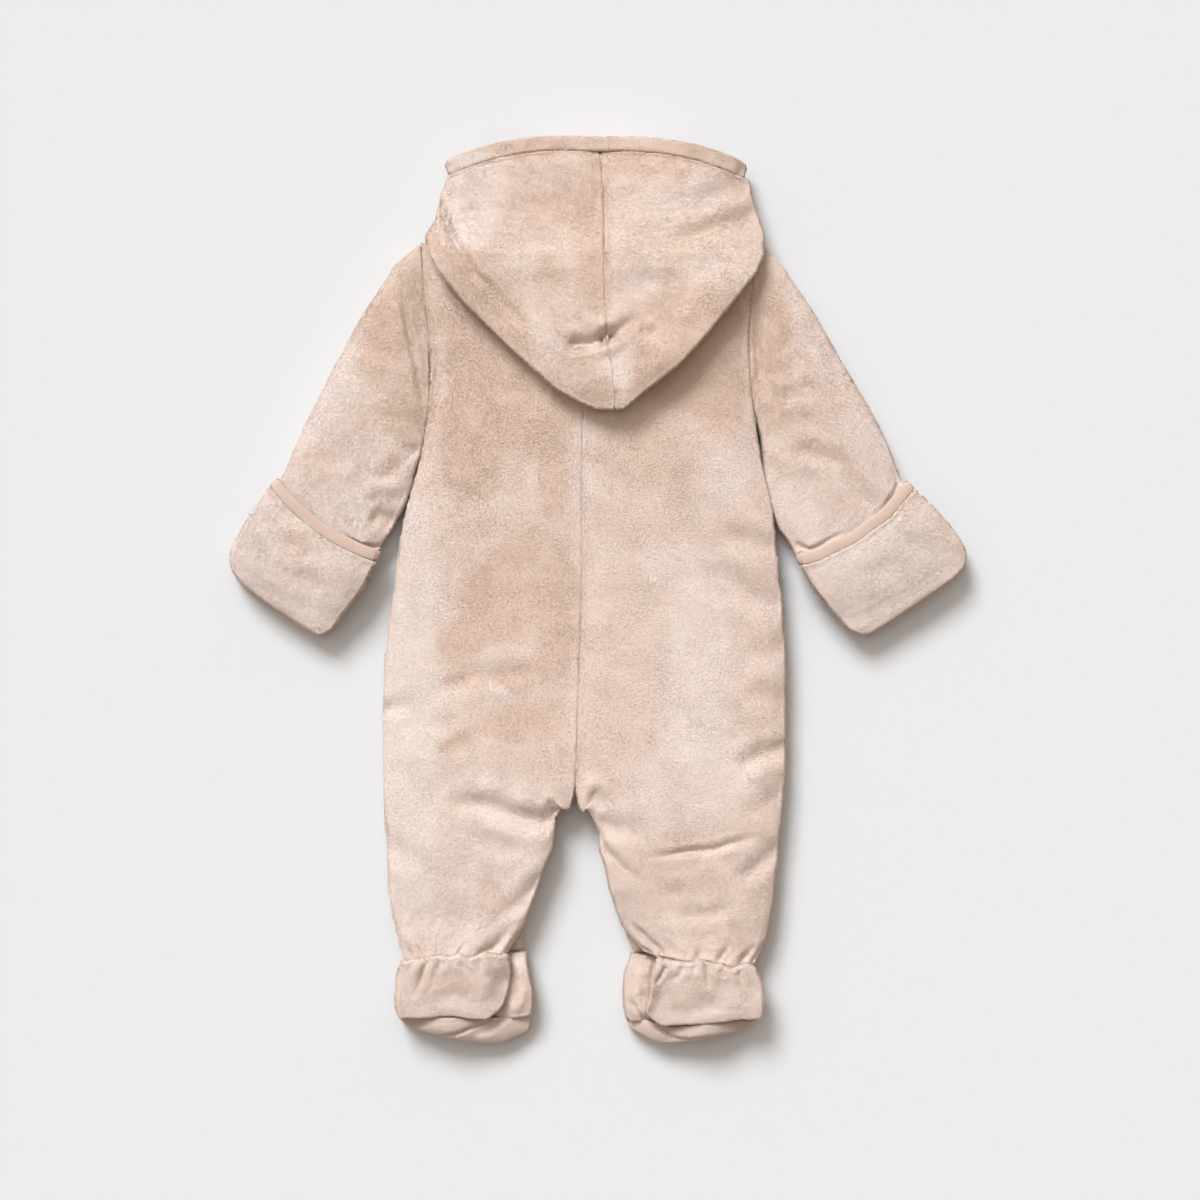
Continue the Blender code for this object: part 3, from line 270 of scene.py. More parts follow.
BODY_CREASES = [
    (5, 0.8, 0.4, 0, 0, -118, 236, -121, 190, -119, 150, -124, 110),
    (6.5, 1, 0.5, 0, 0, -124, -76, -106, -69, -86, -63, -62, -62, -42, -66),
    (5, 2, 0.8, 1, 0, -163, -90, -148, -86, -132, -86),
    (6, 0.5, 0.3, 0, 0, -136, -103, -118, -98, -100, -100),
    (5, 0.5, 0.3, 0, 0, -118, -122, -104, -114, -92, -113),
    (6.5, 3, 1.3, 0, 1, -112, -157, -96, -156, -80, -160, -62, -168, -44, -172, -28, -166),
    (4, 2.2, 0.8, 0, 1, -36, -152, -33, -160, -26, -164), (4, 2.6, 1, 1, 0, -4, -150, 2, -158, 12, -160),
    (7, 1.1, 0.6, 0, 0, -88, -178, -72, -190, -54, -194),
    (7, 1, 0.6, 1, 0, -158, -190, -142, -198, -128, -212),
    (5.5, 2, 1, 1, 0, -44, -216, -58, -232, -76, -244, -84, -250),
    (9, 1.7, 0.9, 0, 1, 72, 20, 96, 6, 116, -4, 134, -8), (7, 1.4, 0.8, 0, 1, 88, 44, 108, 38, 130, 34),
    (8, 1.1, 0.5, 0, 1, 112, -40, 128, -46, 140, -40), (8, 1.5, 0.8, 0, 1, 106, -74, 122, -78, 142, -88),
    (6, 2.2, 1.1, 0, 1, 100, -136, 112, -126, 124, -120, 141, -118),
    (8, 1.4, 0.7, 0, 1, 104, -166, 120, -162, 138, -150),
    (3, 2, 0.5, 0, 0, 30, -197, 48, -197, 66, -194, 88, -192, 104, -187, 120, -182),
    (3.2, 2.6, 0.7, 1, 0, 0, -182, 7, -194, 16, -205, 30, -215, 44, -223),
    (5, 1, 0.5, 0, 0, 44, -223, 56, -228, 66, -226),
    (5, 1.2, 0.5, 0, 0, 36, -236, 56, -239, 78, -241, 98, -236, 108, -231),
    (6, 2, 0.6, 0, 1, 102, -214, 114, -208, 126, -200, 136, -192),
    (6, 1.4, 0.7, 1, 0, 8, -176, 26, -180, 40, -178),
    # gathers into the left ankle
    (1.9, 1.5, 0.4, 1, 0, -139, -274, -143, -266, -148, -258),
    (1.8, 1.7, 0.4, 1, 0, -131, -275, -134, -267, -138, -260),
    (1.6, 0.9, 0.2, 1, 0, -120, -276, -121, -270, -124, -265),
    (1.6, 1.2, 0.3, 1, 0, -112, -277, -114, -272, -118, -268),
    (1.5, 2.2, 0.4, 1, 0, -104, -276, -103, -268, -101, -259),
    (4.2, 5, 1, 1, 0, -90, -276, -80, -267, -70, -256, -60, -245),
    (2.2, 2.6, 0.5, 1, 1, -69, -271, -63, -263, -57, -255),
    (1.8, 1.2, 0.3, 1, 0, -97, -276, -95, -270, -90, -262),
    # gathers into the right ankle
    (2.2, 2.6, 0.6, 0, 1, 23, -246, 34, -257, 44, -267, 51, -276),
    (2, 2.2, 0.5, 1, 1, 22, -260, 30, -266, 40, -272), (1.6, 1.4, 0.3, 1, 1, 52, -276, 58, -277, 66, -277),
    (2.8, 1.7, 0.4, 1, 0, 75, -280, 76, -271, 78, -260),
    (2.6, 2.8, 0.5, 1, 0, 87, -281, 92, -272, 102, -259),
    (1.5, 1.4, 0.3, 1, 0, 92, -281, 96, -274, 102, -268),
    (2.6, 3.4, 0.7, 1, 0, 102, -284, 110, -272, 120, -260),
    (2.2, 1.6, 0.4, 1, 1, 113, -282, 120, -272, 127, -262),
    (1.6, 0.9, 0.2, 1, 0, 64, -278, 66, -272, 66, -266),
]
SLEEVE_CREASES = [
    # left
    (2.2, 2, 0.4, 0, 0, -147, 236, -144, 206, -138, 176, -132, 146, -132, 122),
    (1.8, 3.6, 0.3, 0, 1, -190, 40, -177, 34.5, -164, 33), (8, 5, 0.6, 0, 1, -172, 60, -160, 55, -150, 46),
    (6, 0.6, 0.3, 0, 0, -166, 219, -160, 200, -158, 182),
    (6, 0.6, 0.3, 0, 0, -176, 188, -164, 178, -150, 176),
    (5, 1.1, 0.5, 0, 1, -160, 122, -150, 110, -140, 106),
    (5, 1.3, 0.6, 0, 1, -170, 78, -158, 88, -148, 98, -140, 104),
    (5, 1.3, 0.5, 0, 1, -176, 66, -164, 70, -150, 68), (6, 0.7, 0.3, 0, 0, -216, 100, -198, 96, -182, 102),
    (7, 0.6, 0.2, 0, 0, -204, 142, -190, 132, -176, 130),
    (6, 0.7, 0.4, 0, 0, -190, 74, -176, 84, -162, 108),
    # right
    (3, 1.4, 1, 0, 0, 121, 222, 119, 190, 121, 160, 124, 136),
    (1.7, 2.2, 0.3, 1, 0, 149, 35, 157, 33, 170, 38, 185, 45, 194, 49),
    (1.6, 1.3, 0.4, 0, 0, 203, 56, 212, 63, 221, 72, 225, 81, 222, 88, 216, 93),
    (5, 1, 0.5, 0, 0, 124, 142, 138, 146, 152, 150, 160, 158),
    (5, 0.8, 0.4, 1, 0, 128, 132, 140, 130, 150, 124),
    (5.5, 1.5, 0.7, 0, 0, 146, 108, 160, 104, 174, 98, 184, 88),
    (5.5, 1.3, 0.6, 0, 0, 178, 96, 190, 82, 202, 66, 206, 58),
    (6, 0.7, 0.4, 0, 0, 206, 100, 214, 88, 228, 80), (6, 0.7, 0.3, 0, 0, 172, 168, 178, 150, 176, 136),
    (6, 0.8, 0.4, 1, 0, 136, 92, 146, 80, 150, 66), (6, 0.6, 0.3, 0, 0, 150, 196, 140, 184, 128, 178),
]
MITT_CREASES = [
    (6, 1.2, 0.7, 0, 0, -236, 40, -224, 32, -216, 20), (6, 1.2, 0.7, 0, 0, -228, 14, -214, 8, -206, -4),
    (7, 0.7, 0.4, 0, 0, -250, 34, -242, 20, -236, 4),
    (2.2, 1.6, 0.7, 1, 1, 128, 50, 138, 34, 152, 12, 172, -22),
    (7, 0.6, 0.4, 0, 0, 190, 20, 206, 14, 226, 24), (6, 0.7, 0.4, 0, 0, 226, 40, 242, 34, 256, 22),
]
HEEL_CREASES = [
    (2.8, 2, 0.7, 1, 0, -128, -275, -131, -288, -137, -303),
    (2.2, 0.9, 0.5, 1, 0, -139, -273, -142, -280, -146, -287),
    (2.4, 0.9, 0.6, 1, 0, -117, -276, -120, -282, -123, -289),
    (2, 0.8, 0.4, 1, 0, -100, -277, -98, -281, -96, -285),
    (2.2, 2.4, 0.5, 1, 0, -88, -274, -87, -280, -88, -285),
    (2.2, 0.8, 0.4, 1, 0, -78, -271, -76, -276, -76, -281),
    (6, 0.8, 0.5, 0, 0, -124, -306, -108, -300, -92, -302),
    (1.7, 2.6, 0.5, 1, 0, 49, -278, 45, -287, 39, -294),
    (2.6, 0.9, 0.6, 1, 0, 64, -279, 58, -286, 52, -292),
    (1.8, 2.6, 0.4, 1, 0, 80, -279, 81, -287, 82, -294), (2, 0.8, 0.4, 1, 0, 71, -279, 69, -284, 67, -288),
    (2, 2.2, 0.5, 1, 0, 104, -282, 107, -287, 109, -293),
    (2, 0.8, 0.4, 1, 0, 92, -281, 93, -285, 94, -289), (6, 0.8, 0.5, 0, 0, 62, -310, 78, -306, 96, -306),
]
VAMP_CREASES = [
    (1.8, 1.8, 0.8, 1, 1, -68, -317, -61, -321, -54, -328),
    (3.4, 1, 0.5, 0, 0, -62, -284, -61, -298, -64, -310),
    (1.8, 1.8, 0.8, 0, 1, 22, -302, 29, -310, 35, -319),
    (1.6, 1.2, 0.6, 1, 0, 24, -324, 29, -321, 34, -318),
]
SOLE_CREASES = [
    (1.8, 2.6, 0.3, 1, 1, -120, -336, -105, -332, -91, -327, -80, -321),
    (2.6, 2.2, 0.3, 0, 1, -98, -334, -82, -328, -68, -319),
    (1.7, 2.4, 0.4, 0, 1, 90, -334, 72, -336, 54, -334, 44, -328, 36, -320),
    (1.6, 0.9, 0.3, 0, 0, 76, -338, 58, -338, 42, -334),
]

# Where the soles' smooth undersides begin: the outer bands, with pile, are above these lines.
UNDER_SOLES = {
    "sole_left": [(-152, -333), (-120, -336), (-105, -332), (-91, -327), (-80, -320), (-46, -300)],
    "sole_right": [(14, -300), (36, -321), (44, -329), (54, -334), (72, -336), (90, -333), (126, -326)],
}

# Boxes from low x and y to high x and y within which narrow creases need a finer mesh.
FINE_AREAS = {
    "back_left": [(-165, -285, -40, -240), (-70, -185, -5, -140)],
    "back_right": [
        (0, -295, 140, -240), (-20, -190, 40, -140), (-5, -226, 45, -190), (45, -205, 125, -176),
    ],
    "hood_left": [(-40, 130, 30, 215), (-125, 296, 10, 335)],
    "hood_right": [(-10, 130, 50, 215), (0, 296, 125, 335)],
    "sleeve_left": [(-152, 118, -120, 244), (-240, 30, -156, 98)],
    "sleeve_right": [(112, 130, 130, 225), (150, 28, 234, 98)],
}

# The shells. Columns: part, creases, voxel, rounds of smoothing, level_rounds, lumpy, inset from the CAD,
# and fill, which is how far rounded edges are filled up to the cloth beside them, as by padding.
SHELLS = [
    ("back", BODY_CREASES, VOXEL, 4, 30, 1.0, PILE_INSET, 0.5),
    ("front", (), COARSE_VOXEL, 2, 0, 0.2, PILE_INSET, 0.0),
    ("sleeve", SLEEVE_CREASES, VOXEL, 4, 24, 1.2, PILE_INSET, 0.45),
    ("mitt_back", MITT_CREASES, FINE_VOXEL, 3, 16, 0.9, PILE_INSET, 0.75),
    ("mitt_palm", (), VOXEL, 2, 6, 0.3, PILE_INSET, 0.75),
    ("hood", HOOD_CREASES, VOXEL, 4, 30, 1.0, PILE_INSET, 0.8),
    ("hood_brim", (), FINE_VOXEL, 5, 0, 0.4, 0.8, 0.8),
    ("heel", HEEL_CREASES, FINE_VOXEL, 4, 16, 0.7, PILE_INSET, 0.85),
    ("vamp", VAMP_CREASES, FINE_VOXEL, 4, 10, 0.5, 0.9, 0.85),
    ("sole", SOLE_CREASES, FINE_VOXEL, 4, 10, 0.5, 0.7, 0.5),
    ("mitt_binding", (), 1.0, 3, 0, 0.0, BINDING_INSET, 0.75),
]

# ---------------------------------------------------------------- numbers over points

HASH_STEPS = np.array((73856093, 19349663, 83492791))
HASH_OF_SEED = 2654435761


def eased(share):
    """A share from 0 to 1, with soft ends."""
    return share * share * (3 - 2 * share)


def ramp(values, start, span):
    """How far values have come along a span, from 0 to 1."""
    return np.clip((values - start) / span, 0, 1)


def bell(far, reach):
    return np.exp(-((far / reach) ** 2))


def unit(vectors, least=1e-18):
    return vectors / np.linalg.norm(vectors, axis=1)[:, None].clip(least)


def soft_noise(points, size, seed):
    """Smooth noise from -1 to 1 over points in millimetres, with lumps of the given size."""
    place = points / size + np.array((seed * 7.31, seed * 3.17, seed * 5.77))
    corner = np.floor(place).astype(np.int64)
    ease = eased(place - corner)
    total = np.zeros(len(points))
    for step in np.ndindex(2, 2, 2):
        mixed = np.bitwise_xor.reduce((corner + step) * HASH_STEPS, axis=1) ^ seed * HASH_OF_SEED
        mixed = (mixed ^ (mixed >> 13)) * 1274126177 & 0x7FFFFFFF
        mixed = (mixed ^ (mixed >> 16)) & 0xFFFFFF
        total += (mixed / 0x7FFFFF - 1.0) * np.where(step, ease, 1 - ease).prod(axis=1)
    return total


def layered_noise(points, size, seed, layers=3):
    total, share = np.zeros(len(points)), 1.0
    for layer in range(layers):
        total += share * soft_noise(points, size / 2**layer, seed + layer)
        share *= 0.5
    return total / (2 - 2 * share)


def slope_of(points, size, seed):
    """Which way the noise rises, as vectors of about unit size."""
    step = size * 0.15
    here = soft_noise(points, size, seed)
    rises = [soft_noise(points + np.eye(3)[axis] * step, size, seed) - here for axis in range(3)]
    return np.stack(rises, axis=1) * (size / step) * 0.5


def patched(points, patches, base):
    """The sum of soft patches at points in millimetres, their edges broken up."""
    bent = points[:, :2].copy()
    bent[:, 0] += 7 * layered_noise(points, 28, 11) + 2.5 * soft_noise(points, 7, 12)
    bent[:, 1] += 9 * layered_noise(points, 34, 13) + 3.5 * soft_noise(points, 9, 14)
    tone = np.full(len(points), base)
    for x, y, half_across, half_along, turn, tan in patches:
        sine, cosine = math.sin(math.radians(turn)), math.cos(math.radians(turn))
        off = bent - (x, y)
        across = (off[:, 0] * cosine + off[:, 1] * sine) / half_across
        along = (off[:, 1] * cosine - off[:, 0] * sine) / half_along
        far = np.sqrt(across**2 + along**2)
        tone += tan * eased(np.clip((1.25 - far) / 0.55, 0, 1))
    return tone


def nap_and_painted_light(points):
    """How tan the nap is at points in millimetres, with the painted light and shade of some of its patches: 0
    where it is pale and 1 where it is tan.
    """
    tone = patched(points, PATCHES, NAP_BASE)
    tone += 0.16 * layered_noise(points, 22, 21) + 0.10 * layered_noise(points, 6, 24, 2)
    return np.clip(tone, 0, 1)


def crease_depths(points, creases):
    """How far in the creases push the cloth at points in millimetres, less what they push up beside."""
    bent = points[:, :2].copy()
    for axis in (0, 1):
        bent[:, axis] += 1.4 * soft_noise(points, 16, 31 + axis)
    total = np.zeros(len(points))
    for width, depth, roll, open_start, open_end, *line in creases:
        line = np.reshape(line, (-1, 2)).astype(float)
        reach = 4.5 * width
        near = np.all((bent > line.min(0) - reach) & (bent < line.max(0) + reach), axis=1)
        spots = bent[near]
        if not len(spots):
            continue
        lengths = np.linalg.norm(np.diff(line, axis=0), axis=1)
        begun = np.concatenate(((0.0,), np.cumsum(lengths)))
        best, share = np.full(len(spots), 1e9), np.zeros(len(spots))
        for start, end, begin, length in zip(line, line[1:], begun, lengths):
            along = np.clip((spots - start) @ (end - start) / length**2, 0, 1)
            far = np.linalg.norm(spots - start - along[:, None] * (end - start), axis=1)
            closer = far < best
            best = np.where(closer, far, best)
            share = np.where(closer, (begin + along * length) / begun[-1], share)
        rise = np.ones(len(spots)) if open_start else np.clip(share / CREASE_END, 0, 1)
        fading = CREASE_FADE if open_start else CREASE_END
        fall = np.ones(len(spots)) if open_end else np.clip((1 - share) / fading, 0, 1)
        beside = roll * bell(best - 2.0 * width, width)
        total[near] += (depth * bell(best, width) - beside) * eased(rise) * eased(fall)
    return total


# ---------------------------------------------------------------- meshes


def got(things, name, across, kind=np.float32):
    """What each thing of a mesh holds under a name."""
    values = np.empty(len(things) * across, kind)
    things.foreach_get(name, values)
    values = values if kind is np.int32 else values.astype(float)
    return values if across == 1 else values.reshape(-1, across)


def arrays_of(mesh):
    return got(mesh.vertices, "co", 3)


def normals_of(mesh):
    return got(mesh.vertices, "normal", 3)


def edges_of(mesh):
    return got(mesh.edges, "vertices", 2, np.int32)


def put(mesh, points):
    mesh.vertices.foreach_set("co", points.astype(np.float32).ravel())
    mesh.update()


def keep(data, name, values):
    """Keeps values or vectors at the points of a mesh."""
    kind, part = ("FLOAT", "value") if values.ndim == 1 else ("FLOAT_VECTOR", "vector")
    data.attributes.new(name, kind, "POINT").data.foreach_set(part, values.astype(np.float32).ravel())


def placed(points):
    """Points of a mesh in millimetres, from the point that the hand-placed ones are measured from."""
    return points / MM - PLACE


def link(name, mesh):
    obj = bpy.data.objects.new(name, mesh)
    bpy.context.scene.collection.objects.link(obj)
    return obj


def made_of(mesh, name):
    """An object with what has been built."""
    data = bpy.data.meshes.new(name)
    mesh.to_mesh(data)
    mesh.free()
    return link(name, data)


def welded(node):
    """One CAD node's own shape, to build on."""
    mesh = bmesh.new()
    mesh.from_mesh(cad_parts[node].data)
    bmesh.ops.remove_doubles(mesh, verts=mesh.verts, dist=1e-5)
    return mesh


def applied(obj):
    """The object with its modifiers applied to its mesh."""
    depsgraph = bpy.context.evaluated_depsgraph_get()
    made = bpy.data.meshes.new_from_object(obj.evaluated_get(depsgraph))
    obj.modifiers.clear()
    old, obj.data = obj.data, made
    bpy.data.meshes.remove(old)
    return obj


def sum_beside(values, edges):
    """The sum of the values at each point's neighbours."""
    one, two = edges.T
    return np.bincount(one, values[two], len(values)) + np.bincount(two, values[one], len(values))


def averaged(values, edges, rounds, share=0.5, weights=None):
    """Values at points, moved towards those of their neighbours."""
    values = values if values.ndim == 2 else values[:, None]
    count = np.bincount(edges.ravel(), minlength=len(values))[:, None].clip(1)
    step = share if weights is None else share * weights[:, None]
    for _ in range(rounds):
        total = np.stack([sum_beside(column, edges) for column in values.T], axis=1)
        values = values + (total / count - values) * step
    return values


def tree_over(meshes):
    """One search tree over several meshes."""
    points, faces, start = [], [], 0
    for mesh in meshes:
        points += [v.co.copy() for v in mesh.vertices]
        faces += [[start + i for i in p.vertices] for p in mesh.polygons]
        start += len(mesh.vertices)
    return BVHTree.FromPolygons(points, faces)


def even_mesh(name, node, voxel):
    """An even mesh over one CAD node."""
    obj = made_of(welded(node), name)
    remesh = obj.modifiers.new("even", "REMESH")
    remesh.mode = "VOXEL"
    remesh.voxel_size = voxel * MM
    return applied(obj)


def clearances(node, points):
    """How far points are from the other CAD nodes, mm, and the way to them."""
    others = tree_over([obj.data for name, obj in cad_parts.items() if name != node])
    far, ways = [], []
    for point in points:
        spot, _, _, distance = others.find_nearest(point, FAR_AWAY * MM)
        far.append(FAR_AWAY if spot is None else distance / MM)
        ways.append((0.0, 0.0, 0.0) if spot is None else (spot - Vector(point)).normalized())
    return np.array(far), np.array(ways)


def is_sewn(normals, clear, toward):
    """Where a piece's upper side has a neighbour close beside it."""
    return (clear < SEWN_WITHIN) & (normals[:, 2] > 0.1) & (np.abs(toward[:, 2]) < 0.6)


def closed_seams(points, normals, edges, clear, toward):
    """Brings the cloth up level to where it is sewn to a neighbour, so that a thin line is left."""
    sewn = is_sewn(normals, clear, toward)
    part = sewn | (normals[:, 2] > 0.75)
    joined = edges[part[edges].all(axis=1)]
    level = averaged(points[:, 2:], joined, 16, 1.0, sewn.astype(float))[:, 0]
    drop = SEAM_DEPTH * MM * bell(clear, SEAM_WIDTH)
    raised = points.copy()
    raised[sewn, 2] = np.maximum(points[sewn, 2], (level - drop)[sewn])
    closer = clear - np.maximum(SEAM_GAP, clear - 1.2 * bell(clear, 1.6))
    closer = closer.clip(0) * sewn * MM
    raised[:, :2] += toward[:, :2] * closer[:, None]
    return raised


def filled(points, normals, edges, share, flatness):
    """Brings a piece's rounded upper edges up towards the level of the cloth beside them."""
    crown = normals[:, 2] > flatness
    side = (normals[:, 2] > -0.05) & ~crown
    part = side | crown
    joined = edges[part[edges].all(axis=1)]
    level, known = points[:, 2].copy(), crown.astype(float)
    for _ in range(FILL_RINGS):
        total, count = sum_beside(level * known, joined), sum_beside(known, joined)
        fresh = side & (known == 0) & (count > 0)
        level[fresh] = total[fresh] / count[fresh]
        known[fresh] = 1
    level = averaged(level, joined, 8, 1.0, side.astype(float))[:, 0]
    weight = share * side * ramp(normals[:, 2], -0.05, 0.45)
    raised = points.copy()
    raised[:, 2] += weight * (level - points[:, 2]).clip(0)
    top = edges[(normals[:, 2] > TOP_SLOPE)[edges].all(axis=1)]
    known = np.bincount(top.ravel(), minlength=len(points)) > 0
    raised[:, 2] = averaged(raised[:, 2], top, FILL_ROUNDS, 0.5, known.astype(float))[:, 0]
    return raised


def pushed(node, points):
    """Points of a piece in metres, moved over where it is pushed."""
    spots = placed(points)
    lifting = np.clip(spots[:, 2] / LEVEL_OF_PUSHES, 0, 1)
    moved = points.copy()
    for pieces, *pushes in PUSHES:
        if node.startswith(tuple(pieces.split())):
            for x, y, reach, *way in pushes:
                near = bell(np.hypot(spots[:, 0] - x, spots[:, 1] - y), reach)
                move = near[:, None] * np.array(way) * MM
                move[:, 2] *= lifting
                moved += move
    return moved


def thinned_and_refined(data, fine):
    """Joins the even faces of a level underside, and splits those where the creases are narrow."""
    mesh = bmesh.new()
    mesh.from_mesh(data)
    for box in fine:
        low, high = (np.reshape(box, (2, 2)) + PLACE[:2]) * MM
        within = [v for v in mesh.verts if low[0] < v.co.x < high[0] and low[1] < v.co.y < high[1]]
        upper = {v for v in within if v.normal.z > -0.5}
        split = [e for e in mesh.edges if upper.issuperset(e.verts)]
        bmesh.ops.subdivide_edges(mesh, edges=split, cuts=1, use_grid_fill=True)
    verts, edges = (
        [thing for thing in things if all(face.normal.z < LEVEL_UNDERSIDE for face in thing.link_faces)]
        for things in (mesh.verts, mesh.edges)
    )
    bmesh.ops.dissolve_limit(mesh, angle_limit=math.radians(1.5), verts=verts, edges=edges)
    mesh.to_mesh(data)
    mesh.free()


def shell_over(node, creases, voxel, rounds, level_rounds, lumpy, inset, fill):
    """The padded cloth of one CAD node: its facets smoothed, drawn in by its pile, creased and lumpy."""
    obj = even_mesh(node + ".shell", node, voxel)
    data = obj.data
    edges = edges_of(data)
    points = arrays_of(data)
    for _ in range(rounds):
        points = averaged(points, edges, 1, 0.5)
        points = averaged(points, edges, 1, -0.49)
    put(data, points)
    thinned_and_refined(data, FINE_AREAS.get(node, []))
    edges = edges_of(data)
    points = arrays_of(data)
    upward = ramp(normals_of(data)[:, 2], 0.3, 0.4)
    points[:, 2:] = averaged(points[:, 2:], edges, level_rounds, 0.5, upward)
    put(data, points)
    normals = normals_of(data)
    clear, toward = clearances(node, points)
    free = ramp(clear, 0.8, 4.0)
    on_floor = ramp(-normals[:, 2], 0, 0.5) * (points[:, 2] < 0.004)
    sewn = min(SEWN_INSET, inset)
    depth = (sewn + (inset - sewn) * free) * (1 - on_floor)
    spots = placed(points)
    top = ramp(normals[:, 2], -0.25, 0.5)
    dents = np.clip(normals[:, 2] * 1.3, 0, 1) * crease_depths(spots, creases)
    lumps = 0.6 * layered_noise(spots, 46, 41, 2) + 0.25 * layered_noise(spots, 17, 44, 2)
    lumps += bell(clear, 3.5) * top * 0.4 * soft_noise(spots, 11, 47)
    depth += lumpy * top * lumps
    ways = normals * np.stack((free, free, np.ones(len(free))), axis=1)
    points = closed_seams(points, normals, edges, clear, toward)
    if node.startswith("mitt_back"):
        back = is_sewn(normals, clear, toward) * (1 - clear / SEWN_WITHIN)
        points[:, :2] -= toward[:, :2] * (back * BINDING_SHOWS * MM)[:, None]
        rim = (normals[:, 2] < 0.35) & (points[:, 2] < MITT_RIM * MM)
        points = averaged(points, edges, 12, 0.6, rim.astype(float))
    if fill:
        points = filled(points, normals, edges, fill, HOOD_CROWN if node.startswith("hood") else CROWN)
    points = pushed(node, points) - ways * (depth * MM)[:, None]
    points[:, 2] -= dents * MM
    points = averaged(points, edges, 1, 0.35)
    points[:, 2] = points[:, 2].clip(0.0001)
    put(data, points)
    data.shade_smooth()
    keep(data, "clear", clear)
    keep(data, "toward", toward)
    return obj


def level_at(tree, x, y, down):
    """The height in metres at which a vertical look first meets a surface, or None."""
    spot = tree.ray_cast(Vector((x, y, 0.2 if down else -0.1)), Vector((0, 0, -1 if down else 1)))[0]
    return None if spot is None else spot.z


def hollowed(obj):
    """Gives a flattened tube or bag its hollow: a second surface, between a wall above and one below."""
    data = obj.data
    points, normals, edges = arrays_of(data), normals_of(data), edges_of(data)
    tree = tree_over([data])
    middle = []
    for point, normal in zip(points, normals):
        x, y = point[:2] - normal[:2] * 0.0015
        high, low = level_at(tree, x, y, True), level_at(tree, x, y, False)
        middle.append(point[2] if high is None else (high + low) / 2)
    middle = averaged(np.array(middle), edges, 8)[:, 0]
    inside = points.copy()
    inside[:, :2] -= normals[:, :2] * WALL_AT_EDGE * MM
    inside[:, 2] = middle + (points[:, 2] - middle) * (1 - 2 * WALL_SHARE)
    inner = link("inner", data.copy())
    put(inner.data, averaged(inside, edges, 2))
    inner.modifiers.new("fewer", "DECIMATE").ratio = 0.25
    applied(inner).data.flip_normals()
    mesh = bmesh.new()
    mesh.from_mesh(data)
    mesh.from_mesh(inner.data)
    mesh.to_mesh(data)
    mesh.free()
    bpy.data.objects.remove(inner)
    data.shade_smooth()


# ---------------------------------------------------------------- finishes


def wired(tree, node, **inputs):
    """The node, with its inputs set, or linked to what feeds them. A _ in a name stands for a space."""
    for name, value in inputs.items():
        socket = node.inputs[name.replace("_", " ")]
        if isinstance(value, bpy.types.NodeSocket):
            tree.links.new(value, socket)
        else:
            socket.default_value = value
    return node


def shader_of(name, **inputs):
    mat = bpy.data.materials.new(name)
    mat.use_nodes = True
    return mat, mat.node_tree, wired(mat.node_tree, mat.node_tree.nodes["Principled BSDF"], **inputs)


def texture(tree, kind, scale, **inputs):
    """A texture node that follows the piece's own place."""
    where = tree.nodes.new("ShaderNodeTexCoord").outputs["Object"]
    return wired(tree, tree.nodes.new("ShaderNodeTex" + kind), Vector=where, Scale=scale, **inputs)


def colour_over(tree, share, low, high, start=0.0, end=1.0):
    """A colour that goes from low to high as a share rises."""
    blend = wired(tree, tree.nodes.new("ShaderNodeValToRGB"), Fac=share)
    for stop, position, colour in zip(blend.color_ramp.elements, (start, end), (low, high)):
        stop.position = position
        stop.color = (*colour, 1)
    return blend.outputs["Color"]


def relief(tree, height, strength, distance):
    bump = tree.nodes.new("ShaderNodeBump")
    return wired(tree, bump, Height=height, Strength=strength, Distance=distance).outputs["Normal"]


def shaded(colour, shade):
    return [part * shade for part in colour]


def plush(name, shade):
    """The ground of the plush, darkened by the shade given, which is painted shade between the tufts: its
    tone from the nap and its painted light and shade, with the mottle and relief of the pile's roots.
    """
    mat, tree, shader = shader_of(name, Roughness=0.95, Specular_IOR_Level=0.15, Sheen_Weight=0.35)
    tone = tree.nodes.new("ShaderNodeAttribute")
    tone.attribute_name = "nap_and_painted_light"
    mottle = texture(tree, "Noise", 420, Detail=5, Roughness=0.7).outputs["Fac"]
    spread = tree.nodes.new("ShaderNodeMath")
    spread.operation = "MULTIPLY_ADD"
    spread.inputs[1].default_value = 0.5
    tree.links.new(mottle, spread.inputs[0])
    tree.links.new(tone.outputs["Fac"], spread.inputs[2])
    colour = colour_over(tree, spread.outputs[0], shaded(PALE, shade), shaded(TAN, shade), 0.2)
    wired(tree, shader, Base_Color=colour, Normal=relief(tree, mottle, 0.5, 0.0006))
    wired(tree, shader, Sheen_Roughness=0.5, Sheen_Tint=(1.0, 0.93, 0.88, 1))
    return mat


def jersey_cloth(name):
    """Smooth knitted jersey, with the fine wales of the knit."""
    mat, tree, shader = shader_of(name, Roughness=0.8, Specular_IOR_Level=0.25, Sheen_Weight=0.15)
    knit = texture(tree, "Voronoi", 1500).outputs["Distance"]
    cloudy = texture(tree, "Noise", 90).outputs["Fac"]
    colour = colour_over(tree, cloudy, JERSEY_DARK, JERSEY_LIGHT, 0.3, 0.7)
    wired(tree, shader, Base_Color=colour, Normal=relief(tree, knit, 0.35, 0.0002))
    return mat


def pile_tones(name, shade):
    """The pile's finishes, from pale to tan, darkened by the shade given, and last a darker tone of roots,
    which is painted shade between the tufts.
    """
    made = []
    for k in range(TONES + 1):
        share = min(k / (TONES - 1), 1)
        colour = ROOT_PAINTED_SHADE if k == TONES else [a + (b - a) * share for a, b in zip(PALE, TAN)]
        mat, tree, shader = shader_of(f"{name}_{k}", Base_Color=(*shaded(colour, shade), 1), Roughness=0.85)
        wired(tree, shader, Specular_IOR_Level=0.12, Sheen_Weight=0.4)
        wired(tree, shader, Sheen_Roughness=0.5, Sheen_Tint=(1.0, 0.88, 0.79, 1))
        made.append(mat)
    return made


